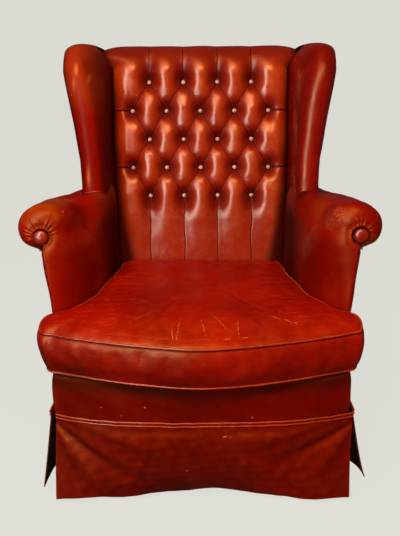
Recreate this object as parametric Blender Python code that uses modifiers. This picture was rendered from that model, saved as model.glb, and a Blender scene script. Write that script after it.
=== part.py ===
"""Worn wing-back club chair: timber frame, springs, stuffed pads, leather skins and buttons.

Metres, +Z up. The origin is on the floor under the middle of the chair, and -Y is the front.
Every piece is its own object. A helper that only cuts is in the cutters collection.
"""

import math

import bmesh
import bpy
from mathutils import Matrix, Vector

# ---------------------------------------------------------------- driving sizes
CHAIR_HEIGHT = 1.033
CHAIR_FRONT = -0.415
CHAIR_BACK = 0.415
GAP = 0.0003

BASE_HALF_WIDTH = 0.341
BASE_CORNER_Y = -0.325
BASE_MIDDLE_Y = -0.369
BORDER_THICK = 0.014
BACK_HALF_WIDTH = 0.285
RAIL_BOTTOM = 0.200
RAIL_TOP = 0.300
RAIL_THICK = 0.027
LEG_TOP = RAIL_BOTTOM - GAP

SKIRT_TOP = 0.226
SKIRT_HEM = 0.012
SKIRT_THICK = 0.003

DECK_BOTTOM = 0.3060
DECK_TOP = 0.3245
CUSHION_BOTTOM = DECK_TOP + GAP
CUSHION_WELT = 0.425
CUSHION_TOP = 0.456
CUSHION_BACK = 0.146

SKIN_THICK = 0.004
PANEL_BOTTOM = 0.2145

ARM_FRONT = -0.243
ARM_POST_FRONT = -0.206
ARM_POST_BACK = -0.166
ARM_FOOT = DECK_TOP + GAP
ARM_BOARD_BOTTOM = 0.580
ARM_BOARD_TOP = 0.605
ARM_BACK = 0.270
BACK_MEETS_ARM = 0.128
ROLL_CAP_START = -0.198
ROLL_FRONT = -0.236

POST_INNER = 0.251
POST_OUTER = 0.279
POST_DEPTH = 0.040
POST_TOP = 0.985
OUTSIDE_BACK_TOP = 1.000

PAD_HALF_WIDTH = 0.2465
PAD_FOOT_Y = 0.1525
PAD_LEDGE = 0.9858
BACK_TOP = 1.022

# The plane that the buttons lie in: depth at seat level, and how far it goes back for each metre up.
BUTTON_PLANE_Y = 0.155
BUTTON_PLANE_Z = 0.450
BUTTON_PLANE_RAKE = 0.2368
TUFT_DEPTH = 0.012
BUTTON_TOP_ROW = 0.930
BUTTON_ROW_PITCH = 0.0765
BUTTON_COLUMN_PITCH = 0.0950
BUTTON_RADIUS = 0.007
BUTTON_HALF_THICK = 0.0035

ARM_BUTTON_RADIUS = 0.015
ARM_BUTTON_HALF_THICK = 0.006
ARM_BUTTON_X = 0.359
ARM_BUTTON_Z = 0.622
ARM_BUTTON_BACK = -0.231

WING_FOOT = 0.650
WING_ROLL_RADIUS = 0.028
WING_BOARD_THICK = 0.020

SPRING_WIRE = 0.002
SPRING_COUNT = 4
SPRING_PITCH = 0.115
SPRING_HALF_WIDTH = 0.022
SPRING_BENDS = 18

OAK = ("frame timber", (0.45, 0.29, 0.14), 0.65, 0.0)
STAIN = ("stained leg timber", (0.06, 0.025, 0.012), 0.35, 0.0)
STEEL = ("spring steel", (0.32, 0.31, 0.29), 0.4, 1.0)
CLOTH = ("deck cloth", (0.05, 0.045, 0.04), 0.95, 0.0)
HIDE = ("worn oxblood leather", (0.23, 0.012, 0.004), 0.34, 0.0)
BUTTON_HIDE = ("rubbed button leather", (0.38, 0.075, 0.03), 0.42, 0.0)


# ---------------------------------------------------------------- scene helpers
def clear_scene():
    for obj in list(bpy.data.objects):
        bpy.data.objects.remove(obj, do_unlink=True)


def make_collection(name):
    made = bpy.data.collections.new(name)
    bpy.context.scene.collection.children.link(made)
    return made


def make_material(spec):
    name, colour, roughness, metallic = spec
    found = bpy.data.materials.get(name)
    if found:
        return found
    material = bpy.data.materials.new(name)
    material.use_nodes = True
    shader = material.node_tree.nodes["Principled BSDF"]
    shader.inputs["Base Color"].default_value = (*colour, 1.0)
    shader.inputs["Roughness"].default_value = roughness
    shader.inputs["Metallic"].default_value = metallic
    return material


def place(name, data, spec, smooth=False):
    """A new object of the chair from mesh or curve data, dressed in one material."""
    obj = bpy.data.objects.new(name, data)
    CHAIR.objects.link(obj)
    obj.data.materials.append(make_material(spec))
    if smooth:
        data.shade_smooth()
        data.set_sharp_from_angle(angle=math.radians(40))
    return obj


def mesh_from(name, build, closed=True):
    """A mesh filled by build(bm). A closed one has its faces turned outwards."""
    bm = bmesh.new()
    build(bm)
    if closed:
        bm.normal_update()
        bmesh.ops.recalc_face_normals(bm, faces=bm.faces)
    mesh = bpy.data.meshes.new(name)
    bm.to_mesh(mesh)
    bm.free()
    return mesh


def loft(name, rings, spec):
    """A closed body through rings of points, each ring closed by the next and both ends capped."""

    def build(bm):
        loops = []
        for ring in rings:
            verts = [bm.verts.new(point) for point in ring]
            pairs = zip(verts, verts[1:] + verts[:1])
            loops.append((verts, [bm.edges.new(pair) for pair in pairs]))
        for (first, _), (second, _) in zip(loops, loops[1:]):
            count = len(first)
            for i in range(count):
                j = (i + 1) % count
                bm.faces.new((first[i], first[j], second[j], second[i]))
        bm.faces.new(loops[0][0])
        bm.faces.new(loops[-1][0])

    return place(name, mesh_from(name, build), spec, smooth=True)


def sheet(name, rows, thickness, spec):
    """A skin of the given thickness: rows of points, walled on the inner side by Solidify."""

    def build(bm):
        grid = [[bm.verts.new(point) for point in row] for row in rows]
        for low, high in zip(grid, grid[1:]):
            for i in range(len(low) - 1):
                bm.faces.new((low[i], low[i + 1], high[i + 1], high[i]))

    obj = place(name, mesh_from(name, build, closed=False), spec, smooth=True)
    wall = obj.modifiers.new("wall", "SOLIDIFY")
    wall.thickness = thickness
    wall.offset = -1.0
    wall.use_even_offset = True
    return obj


def hexahedron(name, corners, spec, bevel=0.0015):
    """A board between two four-cornered ends. corners holds the low end's ring, then the high end's."""

    def build(bm):
        bmesh.ops.create_cube(bm, size=2.0)
        ends = {-1: corners[0], 1: corners[1]}
        order = {(-1, -1): 0, (1, -1): 1, (1, 1): 2, (-1, 1): 3}
        for vert in bm.verts:
            x, y, z = (round(value) for value in vert.co)
            vert.co = Vector(ends[z][order[x, y]])

    obj = place(name, mesh_from(name, build), spec)
    edge = obj.modifiers.new("eased edges", "BEVEL")
    edge.width = bevel
    edge.segments = 1
    return obj


def box_ends(x0, x1, y0, y1, z0, z1):
    """The two end rings of an upright box."""
    ring = ((x0, y0), (x1, y0), (x1, y1), (x0, y1))
    return [[(x, y, z0) for x, y in ring], [(x, y, z1) for x, y in ring]]


def flat_curve(name, outline, half_thick):
    """Curve data: a flat outline in the XY plane, filled and extruded both ways from it."""
    curve = bpy.data.curves.new(name, "CURVE")
    curve.dimensions = "2D"
    curve.fill_mode = "BOTH"
    curve.extrude = half_thick
    spline = curve.splines.new("POLY")
    spline.points.add(len(outline) - 1)
    for point, (x, y) in zip(spline.points, outline):
        point.co = (x, y, 0.0, 1.0)
    spline.use_cyclic_u = True
    return curve


def curve_to_mesh(obj):
    """Replaces a curve object by the mesh it evaluates to, with its caps welded on."""
    graph = bpy.context.evaluated_depsgraph_get()
    mesh = bpy.data.meshes.new_from_object(obj.evaluated_get(graph))
    bm = bmesh.new()
    bm.from_mesh(mesh)
    bmesh.ops.remove_doubles(bm, verts=bm.verts, dist=1e-6)
    bmesh.ops.recalc_face_normals(bm, faces=bm.faces)
    bm.to_mesh(mesh)
    bm.free()
    made = bpy.data.objects.new(obj.name, mesh)
    made.matrix_world = obj.matrix_world.copy()
    home = obj.users_collection[0]
    name = obj.name
    bpy.data.objects.remove(obj, do_unlink=True)
    home.objects.link(made)
    made.name = name
    return made


UPRIGHT = Matrix(((0, 0, 1, 0), (1, 0, 0, 0), (0, 1, 0, 0), (0, 0, 0, 1)))


def side_board(name, outline, thick, centre_x, spec, turn=0.0):
    """A plank sawn to an outline of (y, z) points, standing in the YZ plane and turned about Z."""
    obj = place(name, flat_curve(name, outline, thick / 2), spec)
    obj.matrix_world = Matrix.Translation((centre_x, 0, 0)) @ Matrix.Rotation(turn, 4, "Z") @ UPRIGHT
    bpy.context.view_layer.update()
    return curve_to_mesh(obj)


def level_board(name, outline, bottom, top, spec):
    """A plank sawn to an outline of (x, y) points, lying level."""
    obj = place(name, flat_curve(name, outline, (top - bottom) / 2), spec)
    obj.location.z = (top + bottom) / 2
    bpy.context.view_layer.update()
    return curve_to_mesh(obj)


def as_cutter(obj):
    for home in list(obj.users_collection):
        home.objects.unlink(obj)
    CUTTERS.objects.link(obj)
    obj.hide_render = True
    obj.display_type = "WIRE"
    return obj


def cut(obj, cutter, operation="DIFFERENCE"):
    modifier = obj.modifiers.new(operation.lower() + " " + cutter.name, "BOOLEAN")
    modifier.operation = operation
    modifier.object = cutter


def grown(obj, name, clearance):
    """A cutter of obj's shape, before its modifiers, with clearance added all round."""
    mesh = obj.data.copy()
    cutter = bpy.data.objects.new(name, mesh)
    cutter.matrix_world = obj.matrix_world.copy()
    as_cutter(cutter)
    bm = bmesh.new()
    bm.from_mesh(mesh)
    bm.normal_update()
    moves = [vert.normal * clearance * vert.calc_shell_factor() for vert in bm.verts]
    for vert, move in zip(bm.verts, moves):
        vert.co += move
    bm.to_mesh(mesh)
    bm.free()
    return cutter


def blend(low, high, t):
    return low + (high - low) * min(1.0, max(0.0, t))


def eased(t):
    t = min(1.0, max(0.0, t))
    return t * t * (3 - 2 * t)


def through(knots, value):
    """Straight-line reading of a short list of (input, output) pairs."""
    if value <= knots[0][0]:
        return knots[0][1]
    for (a, low), (b, high) in zip(knots, knots[1:]):
        if value <= b:
            return blend(low, high, (value - a) / (b - a))
    return knots[-1][1]


# ---------------------------------------------------------------- shared surfaces
def front_bow(x, middle, corner, half_width):
    """Depth of a bow front: level across the middle, turning back towards the corners."""
    return middle + (corner - middle) * (abs(x) / half_width) ** 3


def bow_line(inset, steps=12):
    """The half width and the points of the seat's bow front, set back from the border's face."""
    half = BASE_HALF_WIDTH - inset
    xs = [-half + 2 * half * i / steps for i in range(steps + 1)]
    return half, [(x, front_bow(x, BASE_MIDDLE_Y + inset, BASE_CORNER_Y + inset, half)) for x in xs]


def outside_back_y(z):
    """Outer face of the back, which leans backwards."""
    return CHAIR_BACK - (CHAIR_BACK - 0.335) * (OUTSIDE_BACK_TOP - z) / (OUTSIDE_BACK_TOP - PANEL_BOTTOM)


def post_back_y(z):
    return outside_back_y(z) - SKIN_THICK - GAP


def pad_front_y(z):
    """Front of the stuffed back between its dimples."""
    return BUTTON_PLANE_Y + BUTTON_PLANE_RAKE * (z - BUTTON_PLANE_Z) - TUFT_DEPTH * 1.03


def outside_arm_x(y, z):
    """Outer face of the side: leaning outwards at the front, upright at the back."""
    lean = max(0.0, z - 0.33)
    t = (y + 0.215) / 0.545
    return blend(BASE_HALF_WIDTH + 0.10 * lean, BACK_HALF_WIDTH + 0.02 * lean, t)


def arm_inner_x(y):
    """Inner face of the arm at seat height: a blunt nose at the front, closing in to the back."""
    nose_end, nose_x, side_x = -0.073, 0.330, 0.253
    if y >= nose_end:
        return side_x - 0.149 * (y - nose_end)
    reach = min(1.0, (nose_end - y) / (nose_end - ARM_FRONT))
    return nose_x - (nose_x - side_x) * (1 - reach**1.5) ** (1 / 1.5)


def frame_inner_x(y):
    """Inner line of the side timbers, which close in to the back."""
    return 0.300 - 0.085 * (y + 0.200)


# Half widths along the arm, as (depth, half width).
BOARD_EDGE = ((ARM_POST_FRONT, 0.372), (-0.05, 0.369), (0.05, 0.351), (0.15, 0.315), (0.21, POST_OUTER))
ROLL_EDGE = ((-0.2, 0.404), (-0.14, 0.407), (-0.05, 0.401), (0.05, 0.384), (0.15, 0.356), (ARM_BACK, 0.322))


def arm_board_outer_x(y):
    return through(BOARD_EDGE, y)


def roll_outer_x(y):
    return through(ROLL_EDGE, y)


# ---------------------------------------------------------------- frame
def build_rails():
    half, bow = bow_line(BORDER_THICK + GAP)
    outline = bow + [(half, -0.292), (-half, -0.292)]
    level_board("front_seat_rail", outline, RAIL_BOTTOM, RAIL_TOP, OAK)

    back = post_back_y(RAIL_BOTTOM)
    ends = box_ends(-POST_INNER + GAP, POST_INNER - GAP, back - RAIL_THICK, back, RAIL_BOTTOM, RAIL_TOP)
    hexahedron("back_seat_rail", ends, OAK)

    front_y = -0.292 + GAP
    back_y = post_back_y(RAIL_BOTTOM) - POST_DEPTH - GAP
    for side, name in ((-1, "left_seat_rail"), (1, "right_seat_rail")):
        plan = (
            (side * 0.300, front_y),
            (side * 0.327, front_y),
            (side * POST_OUTER, back_y),
            (side * (POST_OUTER - RAIL_THICK), back_y),
        )
        level_board(name, plan, RAIL_BOTTOM, RAIL_TOP, OAK)


def build_front_legs():
    for side, name in ((-1, "front_left_leg"), (1, "front_right_leg")):
        mesh = mesh_from(
            name,
            lambda bm: bmesh.ops.create_cone(
                bm, cap_ends=True, segments=4, radius1=0.024, radius2=0.036, depth=LEG_TOP
            ),
        )
        leg = place(name, mesh, STAIN)
        leg.location = (side * 0.297, -0.300, LEG_TOP / 2)
        leg.rotation_euler.z = math.pi / 4
        edge = leg.modifiers.new("eased edges", "BEVEL")
        edge.width = 0.003
        edge.segments = 1


def build_back_posts():
    def edge_y(z):
        return post_back_y(max(z, RAIL_BOTTOM))

    heel = 0.012
    outline = [
        (edge_y(0) - POST_DEPTH + heel, 0.0),
        (edge_y(0) + heel, 0.0),
        (edge_y(RAIL_BOTTOM), RAIL_BOTTOM),
        (edge_y(POST_TOP), POST_TOP),
        (edge_y(POST_TOP) - POST_DEPTH, POST_TOP),
        (edge_y(RAIL_BOTTOM) - POST_DEPTH, RAIL_BOTTOM),
    ]
    posts = {}
    for side, name in ((-1, "left_back_post"), (1, "right_back_post")):
        middle = side * (POST_INNER + POST_OUTER) / 2
        posts[side] = side_board(name, outline, POST_OUTER - POST_INNER, middle, OAK)
    return posts


def build_back_rails():
    reach = POST_INNER - GAP
    foot, thick = 0.930, 0.033
    top_back = post_back_y(foot)
    hexahedron("back_top_rail", box_ends(-reach, reach, top_back - thick, top_back, foot, POST_TOP), OAK)
    foot, head = 0.345, 0.400
    low_back = post_back_y(foot)
    hexahedron("back_lower_rail", box_ends(-reach, reach, low_back - RAIL_THICK, low_back, foot, head), OAK)


def build_arm_timbers():
    foot, head = RAIL_TOP + GAP, ARM_BOARD_BOTTOM - GAP
    for side, word in ((-1, "left"), (1, "right")):
        ends = []
        for z in (foot, head):
            lean = 0.08 * (z - foot)
            ring = (
                (side * (0.302 + lean), ARM_POST_FRONT),
                (side * (0.327 + lean), ARM_POST_FRONT),
                (side * (0.327 + lean), ARM_POST_BACK),
                (side * (0.302 + lean), ARM_POST_BACK),
            )
            ends.append([(x, y, z) for x, y in ring])
        hexahedron(word + "_arm_post", ends, OAK)

        back_y = post_back_y(ARM_BOARD_BOTTOM) - POST_DEPTH - GAP
        outer = [(x, y) for y, x in BOARD_EDGE] + [(POST_OUTER, back_y)]
        inner = [(frame_inner_x(back_y), back_y), (frame_inner_x(ARM_POST_FRONT), ARM_POST_FRONT)]
        outline = [(side * x, y) for x, y in outer + inner]
        level_board(word + "_arm_board", outline, ARM_BOARD_BOTTOM, ARM_BOARD_TOP, OAK)


def build_wing_frames():
    """A plank that stands on the arm board and runs back to the post, sawn to the wing's profile."""
    back = [(post_back_y(z) - POST_DEPTH - 0.001, z) for z in (ARM_BOARD_TOP + GAP, 0.960)]
    outline = [
        (0.075, ARM_BOARD_TOP + GAP),
        back[0],
        back[1],
        (0.180, 0.990),
        (0.120, 0.965),
        (0.092, 0.900),
        (0.075, 0.760),
    ]
    frames = {}
    pivot_y = back[0][0]
    for side, word in ((-1, "left"), (1, "right")):
        turn = side * math.radians(4.5)
        board = side_board(word + "_wing_frame", outline, WING_BOARD_THICK, 0.0, OAK)
        swing = (
            Matrix.Translation((side * 0.2685, pivot_y, 0))
            @ Matrix.Rotation(turn, 4, "Z")
            @ Matrix.Translation((0, -pivot_y, 0))
        )
        board.matrix_world = swing @ board.matrix_world
        frames[side] = board
    return frames


# ---------------------------------------------------------------- seat
def build_springs():
    front, back = -0.320, post_back_y(RAIL_BOTTOM) - RAIL_THICK / 2
    height = RAIL_TOP + SPRING_WIRE + GAP
    crown = 0.0008
    step = (back - front) / (SPRING_BENDS + 1)
    for number in range(SPRING_COUNT):
        middle = (number - (SPRING_COUNT - 1) / 2) * SPRING_PITCH
        route = [(middle, front)]
        for bend in range(SPRING_BENDS):
            x = middle + SPRING_HALF_WIDTH * (1 if bend % 2 else -1)
            y = front + step * (bend + 1)
            route += [(x, y - step * 0.28), (x, y + step * 0.28)]
        route.append((middle, back))
        curve = bpy.data.curves.new("zigzag wire", "CURVE")
        curve.dimensions = "3D"
        curve.bevel_depth = SPRING_WIRE
        curve.bevel_resolution = 1
        curve.use_fill_caps = True
        spline = curve.splines.new("POLY")
        spline.points.add(len(route) - 1)
        for point, (x, y) in zip(spline.points, route):
            sag = math.sin(math.pi * (y - front) / (back - front))
            point.co = (x, y, height + crown * sag, 1.0)
        place(f"seat_spring_{number + 1}", curve, STEEL)


def build_deck():
    """The padded platform over the springs: wide in front of the arms, and closing in between them."""
    half, bow = bow_line(BORDER_THICK + GAP)
    shoulder_y, side_front, side_back, back_y = -0.215, 0.296, 0.254, 0.290
    outline = bow + [(half, shoulder_y), (side_front, shoulder_y + 0.008), (side_back, back_y)]
    outline += [(-side_back, back_y), (-side_front, shoulder_y + 0.008), (-half, shoulder_y)]
    level_board("seat_deck", outline, DECK_BOTTOM, DECK_TOP, CLOTH)


def build_dust_cover():
    """Black cloth tacked under the rails, with its corners cut away round the four legs."""
    notch_x, notch_y = 0.262, -0.262
    outline = [(-notch_x, -0.340), (notch_x, -0.340), (notch_x, notch_y), (0.320, notch_y), (0.284, 0.270)]
    outline += [(0.246, 0.270), (0.246, 0.325), (-0.246, 0.325), (-0.246, 0.270), (-0.284, 0.270)]
    outline += [(-0.320, notch_y), (-notch_x, notch_y)]
    level_board("dust_cover", outline, RAIL_BOTTOM - GAP - 0.0015, RAIL_BOTTOM - GAP, CLOTH)


def cushion_plan():
    """The right half of the T cushion's plan, from the middle of the front to the middle of the back."""
    ear_x, ear_y = 0.354, -0.323
    sweep = ear_y - CHAIR_FRONT
    front = [(x, CHAIR_FRONT + sweep * (x / ear_x) ** 1.6) for x in (0.0, 0.09, 0.16, 0.22, 0.28, 0.33)]
    ear = [(ear_x, ear_y + 0.004), (0.3575, -0.295), (0.352, -0.268), (0.336, -0.2530), (0.318, -0.2460)]
    depths = (-0.232, -0.205, -0.170, -0.130, -0.073, 0.0, 0.070, 0.128)
    inner = [(arm_inner_x(y) - 0.0035, y) for y in depths]
    corner = [(0.2120, CUSHION_BACK - 0.003), (0.190, CUSHION_BACK), (0.0, CUSHION_BACK)]
    return front + ear + inner + corner


def build_cushion():
    half = cushion_plan()
    plan = half + [(-x, y) for x, y in reversed(half) if x > 0]
    centre_y = -0.120
    rings = []
    steps = (
        (CUSHION_BOTTOM, 0.94),
        (CUSHION_BOTTOM + 0.006, 0.962),
        (CUSHION_WELT - 0.004, 1.0),
        (CUSHION_WELT + 0.010, 0.975),
        (CUSHION_TOP - 0.006, 0.86),
        (CUSHION_TOP, 0.66),
    )
    for z, size in steps:
        rings.append([(x * size, centre_y + (y - centre_y) * size, z) for x, y in plan])
    loft("seat_cushion", rings, HIDE)


def build_front_border():
    """The stuffed band under the cushion: across the bow front and round both corners to the arms."""
    end_y = ARM_POST_FRONT - 0.004
    faces = []
    for inset in (0.0, BORDER_THICK):
        half, bow = bow_line(inset)
        faces.append([(-half, end_y)] + bow + [(half, end_y)])
    level_board("front_border", faces[0] + faces[1][::-1], PANEL_BOTTOM, DECK_TOP, HIDE)


# ---------------------------------------------------------------- skirt
def build_skirts():
    heights = (SKIRT_TOP, PANEL_BOTTOM - 0.002, 0.160, 0.110, 0.060, SKIRT_HEM)

    def fall(z):
        """How far down the free part of the skirt a height is, from 0 to 1."""
        return max(0.0, (heights[1] - z) / (heights[1] - SKIRT_HEM))

    _, top_line = bow_line(-SKIRT_THICK - 3 * GAP)
    rows = []
    for z in heights:
        t = fall(z)
        row = []
        for x, top_y in top_line:
            hem_y = -0.315 - 0.037 * eased(abs(x) / 0.290)
            row.append((x, blend(top_y, hem_y, t * t), z))
        rows.append(row[::-1])
    sheet("skirt_front", rows, SKIRT_THICK, HIDE)

    clear = 0.0022
    for side, name in ((-1, "skirt_left"), (1, "skirt_right")):
        rows = []
        for z in heights:
            t = fall(z)
            row = []
            for i in range(11):
                y = blend(-0.318, 0.326, i / 10)
                flare = 0.012 + 0.026 * math.exp(-((y + 0.318) / 0.09) ** 2)
                x = outside_arm_x(y, z) + clear + SKIRT_THICK + flare * t
                row.append((side * x, y, z))
            rows.append(row if side < 0 else row[::-1])
        sheet(name, rows, SKIRT_THICK, HIDE)

    rows = []
    for z in heights:
        t = fall(z)
        y = outside_back_y(SKIRT_TOP) + GAP + SKIRT_THICK + 0.012 * t
        rows.append([(blend(-0.278, 0.278, i / 6), y, z) for i in range(7)])
    sheet("skirt_back", rows, SKIRT_THICK, HIDE)


# ---------------------------------------------------------------- back
def build_inside_back():
    """The stuffed back in section, which rolls over the top rail, with a dimple for each button."""
    outline = [
        (PAD_FOOT_Y, CUSHION_BOTTOM),
        (PAD_FOOT_Y, 0.4475),
        (pad_front_y(0.475), 0.475),
        (pad_front_y(0.980), 0.980),
        (0.2830, 1.006),
        (0.3080, 1.018),
        (0.3450, BACK_TOP),
        (0.3850, 1.017),
        (0.4092, 1.004),
        (0.4092, PAD_LEDGE),
        (post_back_y(PAD_LEDGE) - POST_DEPTH - GAP, PAD_LEDGE),
        (post_back_y(CUSHION_BOTTOM) - POST_DEPTH - GAP, CUSHION_BOTTOM),
    ]
    pad = side_board("inside_back", outline, 2 * PAD_HALF_WIDTH, 0.0, HIDE)
    cutter = as_cutter(place("dimples", mesh_from("dimples", dimple_cones), HIDE))
    cut(pad, cutter)


def button_points():
    """Centres of the buttons in their plane, from the top row down and from left to right."""
    for row in range(5):
        count = 4 if row % 2 == 0 else 5
        z = BUTTON_TOP_ROW - row * BUTTON_ROW_PITCH
        y = BUTTON_PLANE_Y + BUTTON_PLANE_RAKE * (z - BUTTON_PLANE_Z)
        for column in range(count):
            yield Vector(((column - (count - 1) / 2) * BUTTON_COLUMN_PITCH, y, z))


def button_turn():
    """Turns local +Z to face out of the back."""
    outwards = Vector((0, -1, BUTTON_PLANE_RAKE)).normalized()
    return outwards.to_track_quat("Z", "Y").to_matrix().to_4x4(), outwards


def dimple_cones(bm):
    turn, outwards = button_turn()
    depth = TUFT_DEPTH + 0.0030
    for point in button_points():
        centre = point + outwards * depth / 2
        bmesh.ops.create_cone(
            bm,
            cap_ends=True,
            segments=10,
            radius1=0.0085,
            radius2=0.0200,
            depth=depth,
            matrix=Matrix.Translation(centre) @ turn,
        )


def build_buttons():
    turn, outwards = button_turn()
    mesh = mesh_from(
        "button",
        lambda bm: bmesh.ops.create_uvsphere(
            bm,
            u_segments=10,
            v_segments=5,
            radius=BUTTON_RADIUS,
            matrix=Matrix.Diagonal((1, 1, BUTTON_HALF_THICK / BUTTON_RADIUS, 1)),
        ),
    )
    mesh.shade_smooth()
    mesh.materials.append(make_material(BUTTON_HIDE))
    for number, point in enumerate(button_points(), 1):
        button = bpy.data.objects.new(f"back_button_{number}", mesh)
        CHAIR.objects.link(button)
        lift = BUTTON_HALF_THICK + GAP
        button.matrix_world = Matrix.Translation(point + outwards * lift) @ turn


def build_outside_back():
    half = BACK_HALF_WIDTH + 0.0015
    ends = []
    for z in (PANEL_BOTTOM, OUTSIDE_BACK_TOP):
        y = outside_back_y(z)
        ends.append([(-half, y - SKIN_THICK, z), (half, y - SKIN_THICK, z), (half, y, z), (-half, y, z)])
    hexahedron("outside_back", ends, HIDE, bevel=0.001)


# ---------------------------------------------------------------- wings
# The wing by height: the depth of its front, its half width outside, and the radius of its front roll.
WING_FRONT = (
    (WING_FOOT, 0.004), (0.75, 0.018), (0.85, 0.034), (0.92, 0.050),
    (0.97, 0.072), (1.0, 0.098), (CHAIR_HEIGHT, 0.185),
)
WING_OUTER = (
    (WING_FOOT, 0.306), (0.75, 0.309), (0.80, 0.316), (0.914, 0.327),
    (0.98, 0.3345), (1.012, 0.331), (CHAIR_HEIGHT, 0.312),
)
WING_RADIUS = ((0.98, WING_ROLL_RADIUS), (1.012, 0.024), (CHAIR_HEIGHT, 0.010))


def wing_ring(z, side):
    """The wing in plan at one height: a fat roll at the front, thinning back to the post."""
    front_y = through(WING_FRONT, z)
    outer = through(WING_OUTER, z)
    radius = through(WING_RADIUS, z)
    skin_y = outside_back_y(min(z, OUTSIDE_BACK_TOP - 0.001)) - SKIN_THICK - GAP
    back_y = skin_y if z > PAD_LEDGE else post_back_y(z) - POST_DEPTH - GAP
    notch_x = POST_OUTER + 0.0005
    outer_back = BACK_HALF_WIDTH + 0.001
    inner_back = PAD_HALF_WIDTH + 0.0010
    centre_x, centre_y = outer - radius, front_y + radius
    ring = [(outer_back, skin_y), (blend(outer, outer_back, 0.45), blend(centre_y, skin_y, 0.45))]
    for step in range(7):
        angle = math.radians(10 - 200 * step / 6)
        ring.append((centre_x + radius * math.cos(angle), centre_y + radius * math.sin(angle)))
    ring.append((blend(centre_x - radius, inner_back, 0.75), blend(centre_y, pad_front_y(z), 0.75)))
    ring.append((inner_back, min(pad_front_y(z) + 0.010, back_y - 0.02)))
    ring.append((inner_back, back_y))
    ring.append((notch_x, back_y))
    ring.append((notch_x, skin_y))
    return [(side * x, y, z) for x, y in ring]


def build_wings(wing_frames, arms):
    below_post_top = (WING_FOOT, 0.72, 0.78, 0.84, 0.90, 0.95, PAD_LEDGE - 0.0004)
    heights = below_post_top + (PAD_LEDGE + 0.0002, 1.000, 1.014, 1.026, CHAIR_HEIGHT)
    for side, word in ((-1, "left"), (1, "right")):
        wing = loft(word + "_wing", [wing_ring(z, side) for z in heights], HIDE)
        cut(wing, grown(arms[side], word + " wing foot", 0.0004))
        cut(wing, grown(wing_frames[side], word + " wing slot", 0.0004))


# ---------------------------------------------------------------- arms
def arm_ring(y, side):
    """The arm in section at one depth: foot, timber side, roll and inner face."""
    nose = y < ARM_POST_FRONT - 0.0008
    t = max(0.0, (ROLL_CAP_START - y) / (ROLL_CAP_START - ROLL_FRONT + 0.004))
    round_off = math.sqrt(max(0.02, 1 - min(t, 1.0) ** 2))
    top = through(((-0.2, 0.690), (-0.1, 0.688), (0.0, 0.676), (0.1, 0.6665), (0.27, 0.662)), y)
    radius_z = (top - ARM_BOARD_BOTTOM) / 2 * round_off
    radius_x = through(((-0.14, 0.060), (0.05, 0.051), (0.27, 0.034)), y) * round_off
    centre_z = blend((top + ARM_BOARD_BOTTOM) / 2, ARM_BUTTON_Z, t)
    centre_x = blend(roll_outer_x(y) - radius_x / round_off, ARM_BUTTON_X, t * 0.8)
    foot_x = arm_inner_x(y) if y <= BACK_MEETS_ARM else PAD_HALF_WIDTH + 0.001
    middle_x = min(foot_x + 0.004, centre_x - radius_x * 0.6) if foot_x > 0.28 else foot_x + 0.010

    if nose:
        inset = 0.006 * (1 - round_off)
        timber = [(outside_arm_x(y, z) - inset, z) for z in (ARM_FOOT, 0.42, 0.51)]
        timber.append((outside_arm_x(y, 0.57) - inset, min(0.578, centre_z - radius_z * 0.9)))
    else:
        wall = frame_inner_x(y) - GAP
        edge = arm_board_outer_x(y) + GAP
        timber = [(wall, ARM_FOOT), (wall, ARM_BOARD_TOP + GAP), (edge, ARM_BOARD_TOP + GAP)]
        timber.append((edge, ARM_BOARD_BOTTOM - 0.001))
    ring = timber
    for step in range(9):
        angle = math.radians(-50 + 235 * step / 8)
        ring.append((centre_x + radius_x * math.cos(angle), centre_z + radius_z * math.sin(angle)))
    ring.append((blend(middle_x, foot_x, 0.2), 0.540))
    ring.append((foot_x, 0.450))
    ring.append((foot_x, ARM_FOOT))
    return [(side * x, y, z) for x, z in ring]


def build_arms(wing_frames):
    depths = (
        ARM_FRONT + 0.0005, -0.237, -0.228, -0.218, ARM_POST_FRONT - 0.0011, ARM_POST_FRONT - 0.0006,
        -0.185, -0.150, -0.110, -0.050, 0.0, 0.050,
        BACK_MEETS_ARM, BACK_MEETS_ARM + 0.0035, 0.150, 0.210, ARM_BACK,
    )
    arms = {}
    for side, word in ((-1, "left"), (1, "right")):
        arm = loft(word + "_arm", [arm_ring(y, side) for y in depths], HIDE)
        roll_end = loft(word + " roll end", [roll_end_ring(t, side) for t in (0.0, 0.5, 1.0)], HIDE)
        cut(arm, as_cutter(roll_end), "UNION")
        cut(arm, grown(wing_frames[side], word + " arm slot", 0.0004))
        cut(arm, as_cutter(place(word + " scroll seat", mesh_from("scroll seat", scroll_seat(side)), HIDE)))
        arms[side] = arm
    return arms


def roll_end_ring(t, side):
    """The roll behind the timber board, passing outside the post to the back panel. t runs from 0 to 1."""
    wall = POST_OUTER + 0.0006
    outer = blend(roll_outer_x(ARM_BACK), BACK_HALF_WIDTH + 0.012, t)
    low, high = ARM_BOARD_BOTTOM, WING_FOOT - 0.0005
    ring = []
    for step in range(12):
        angle = 2 * math.pi * step / 12
        x = blend(wall, outer, 0.5 + 0.5 * math.cos(angle))
        z = blend(low, high, 0.5 + 0.5 * math.sin(angle))
        end_y = outside_back_y(z) - SKIN_THICK - GAP
        ring.append((side * x, blend(ARM_BACK - 0.008, end_y, t), z))
    return ring


def scroll_seat(side):
    """The pocket that the scroll's button sits in."""
    depth = 0.030
    centre = Matrix.Translation((side * ARM_BUTTON_X, ARM_BUTTON_BACK + GAP - depth / 2, ARM_BUTTON_Z))
    turn = Matrix.Rotation(math.pi / 2, 4, "X")
    radius = ARM_BUTTON_RADIUS + 0.0005
    return lambda bm: bmesh.ops.create_cone(
        bm, cap_ends=True, segments=14, radius1=radius, radius2=radius, depth=depth, matrix=centre @ turn
    )


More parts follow.
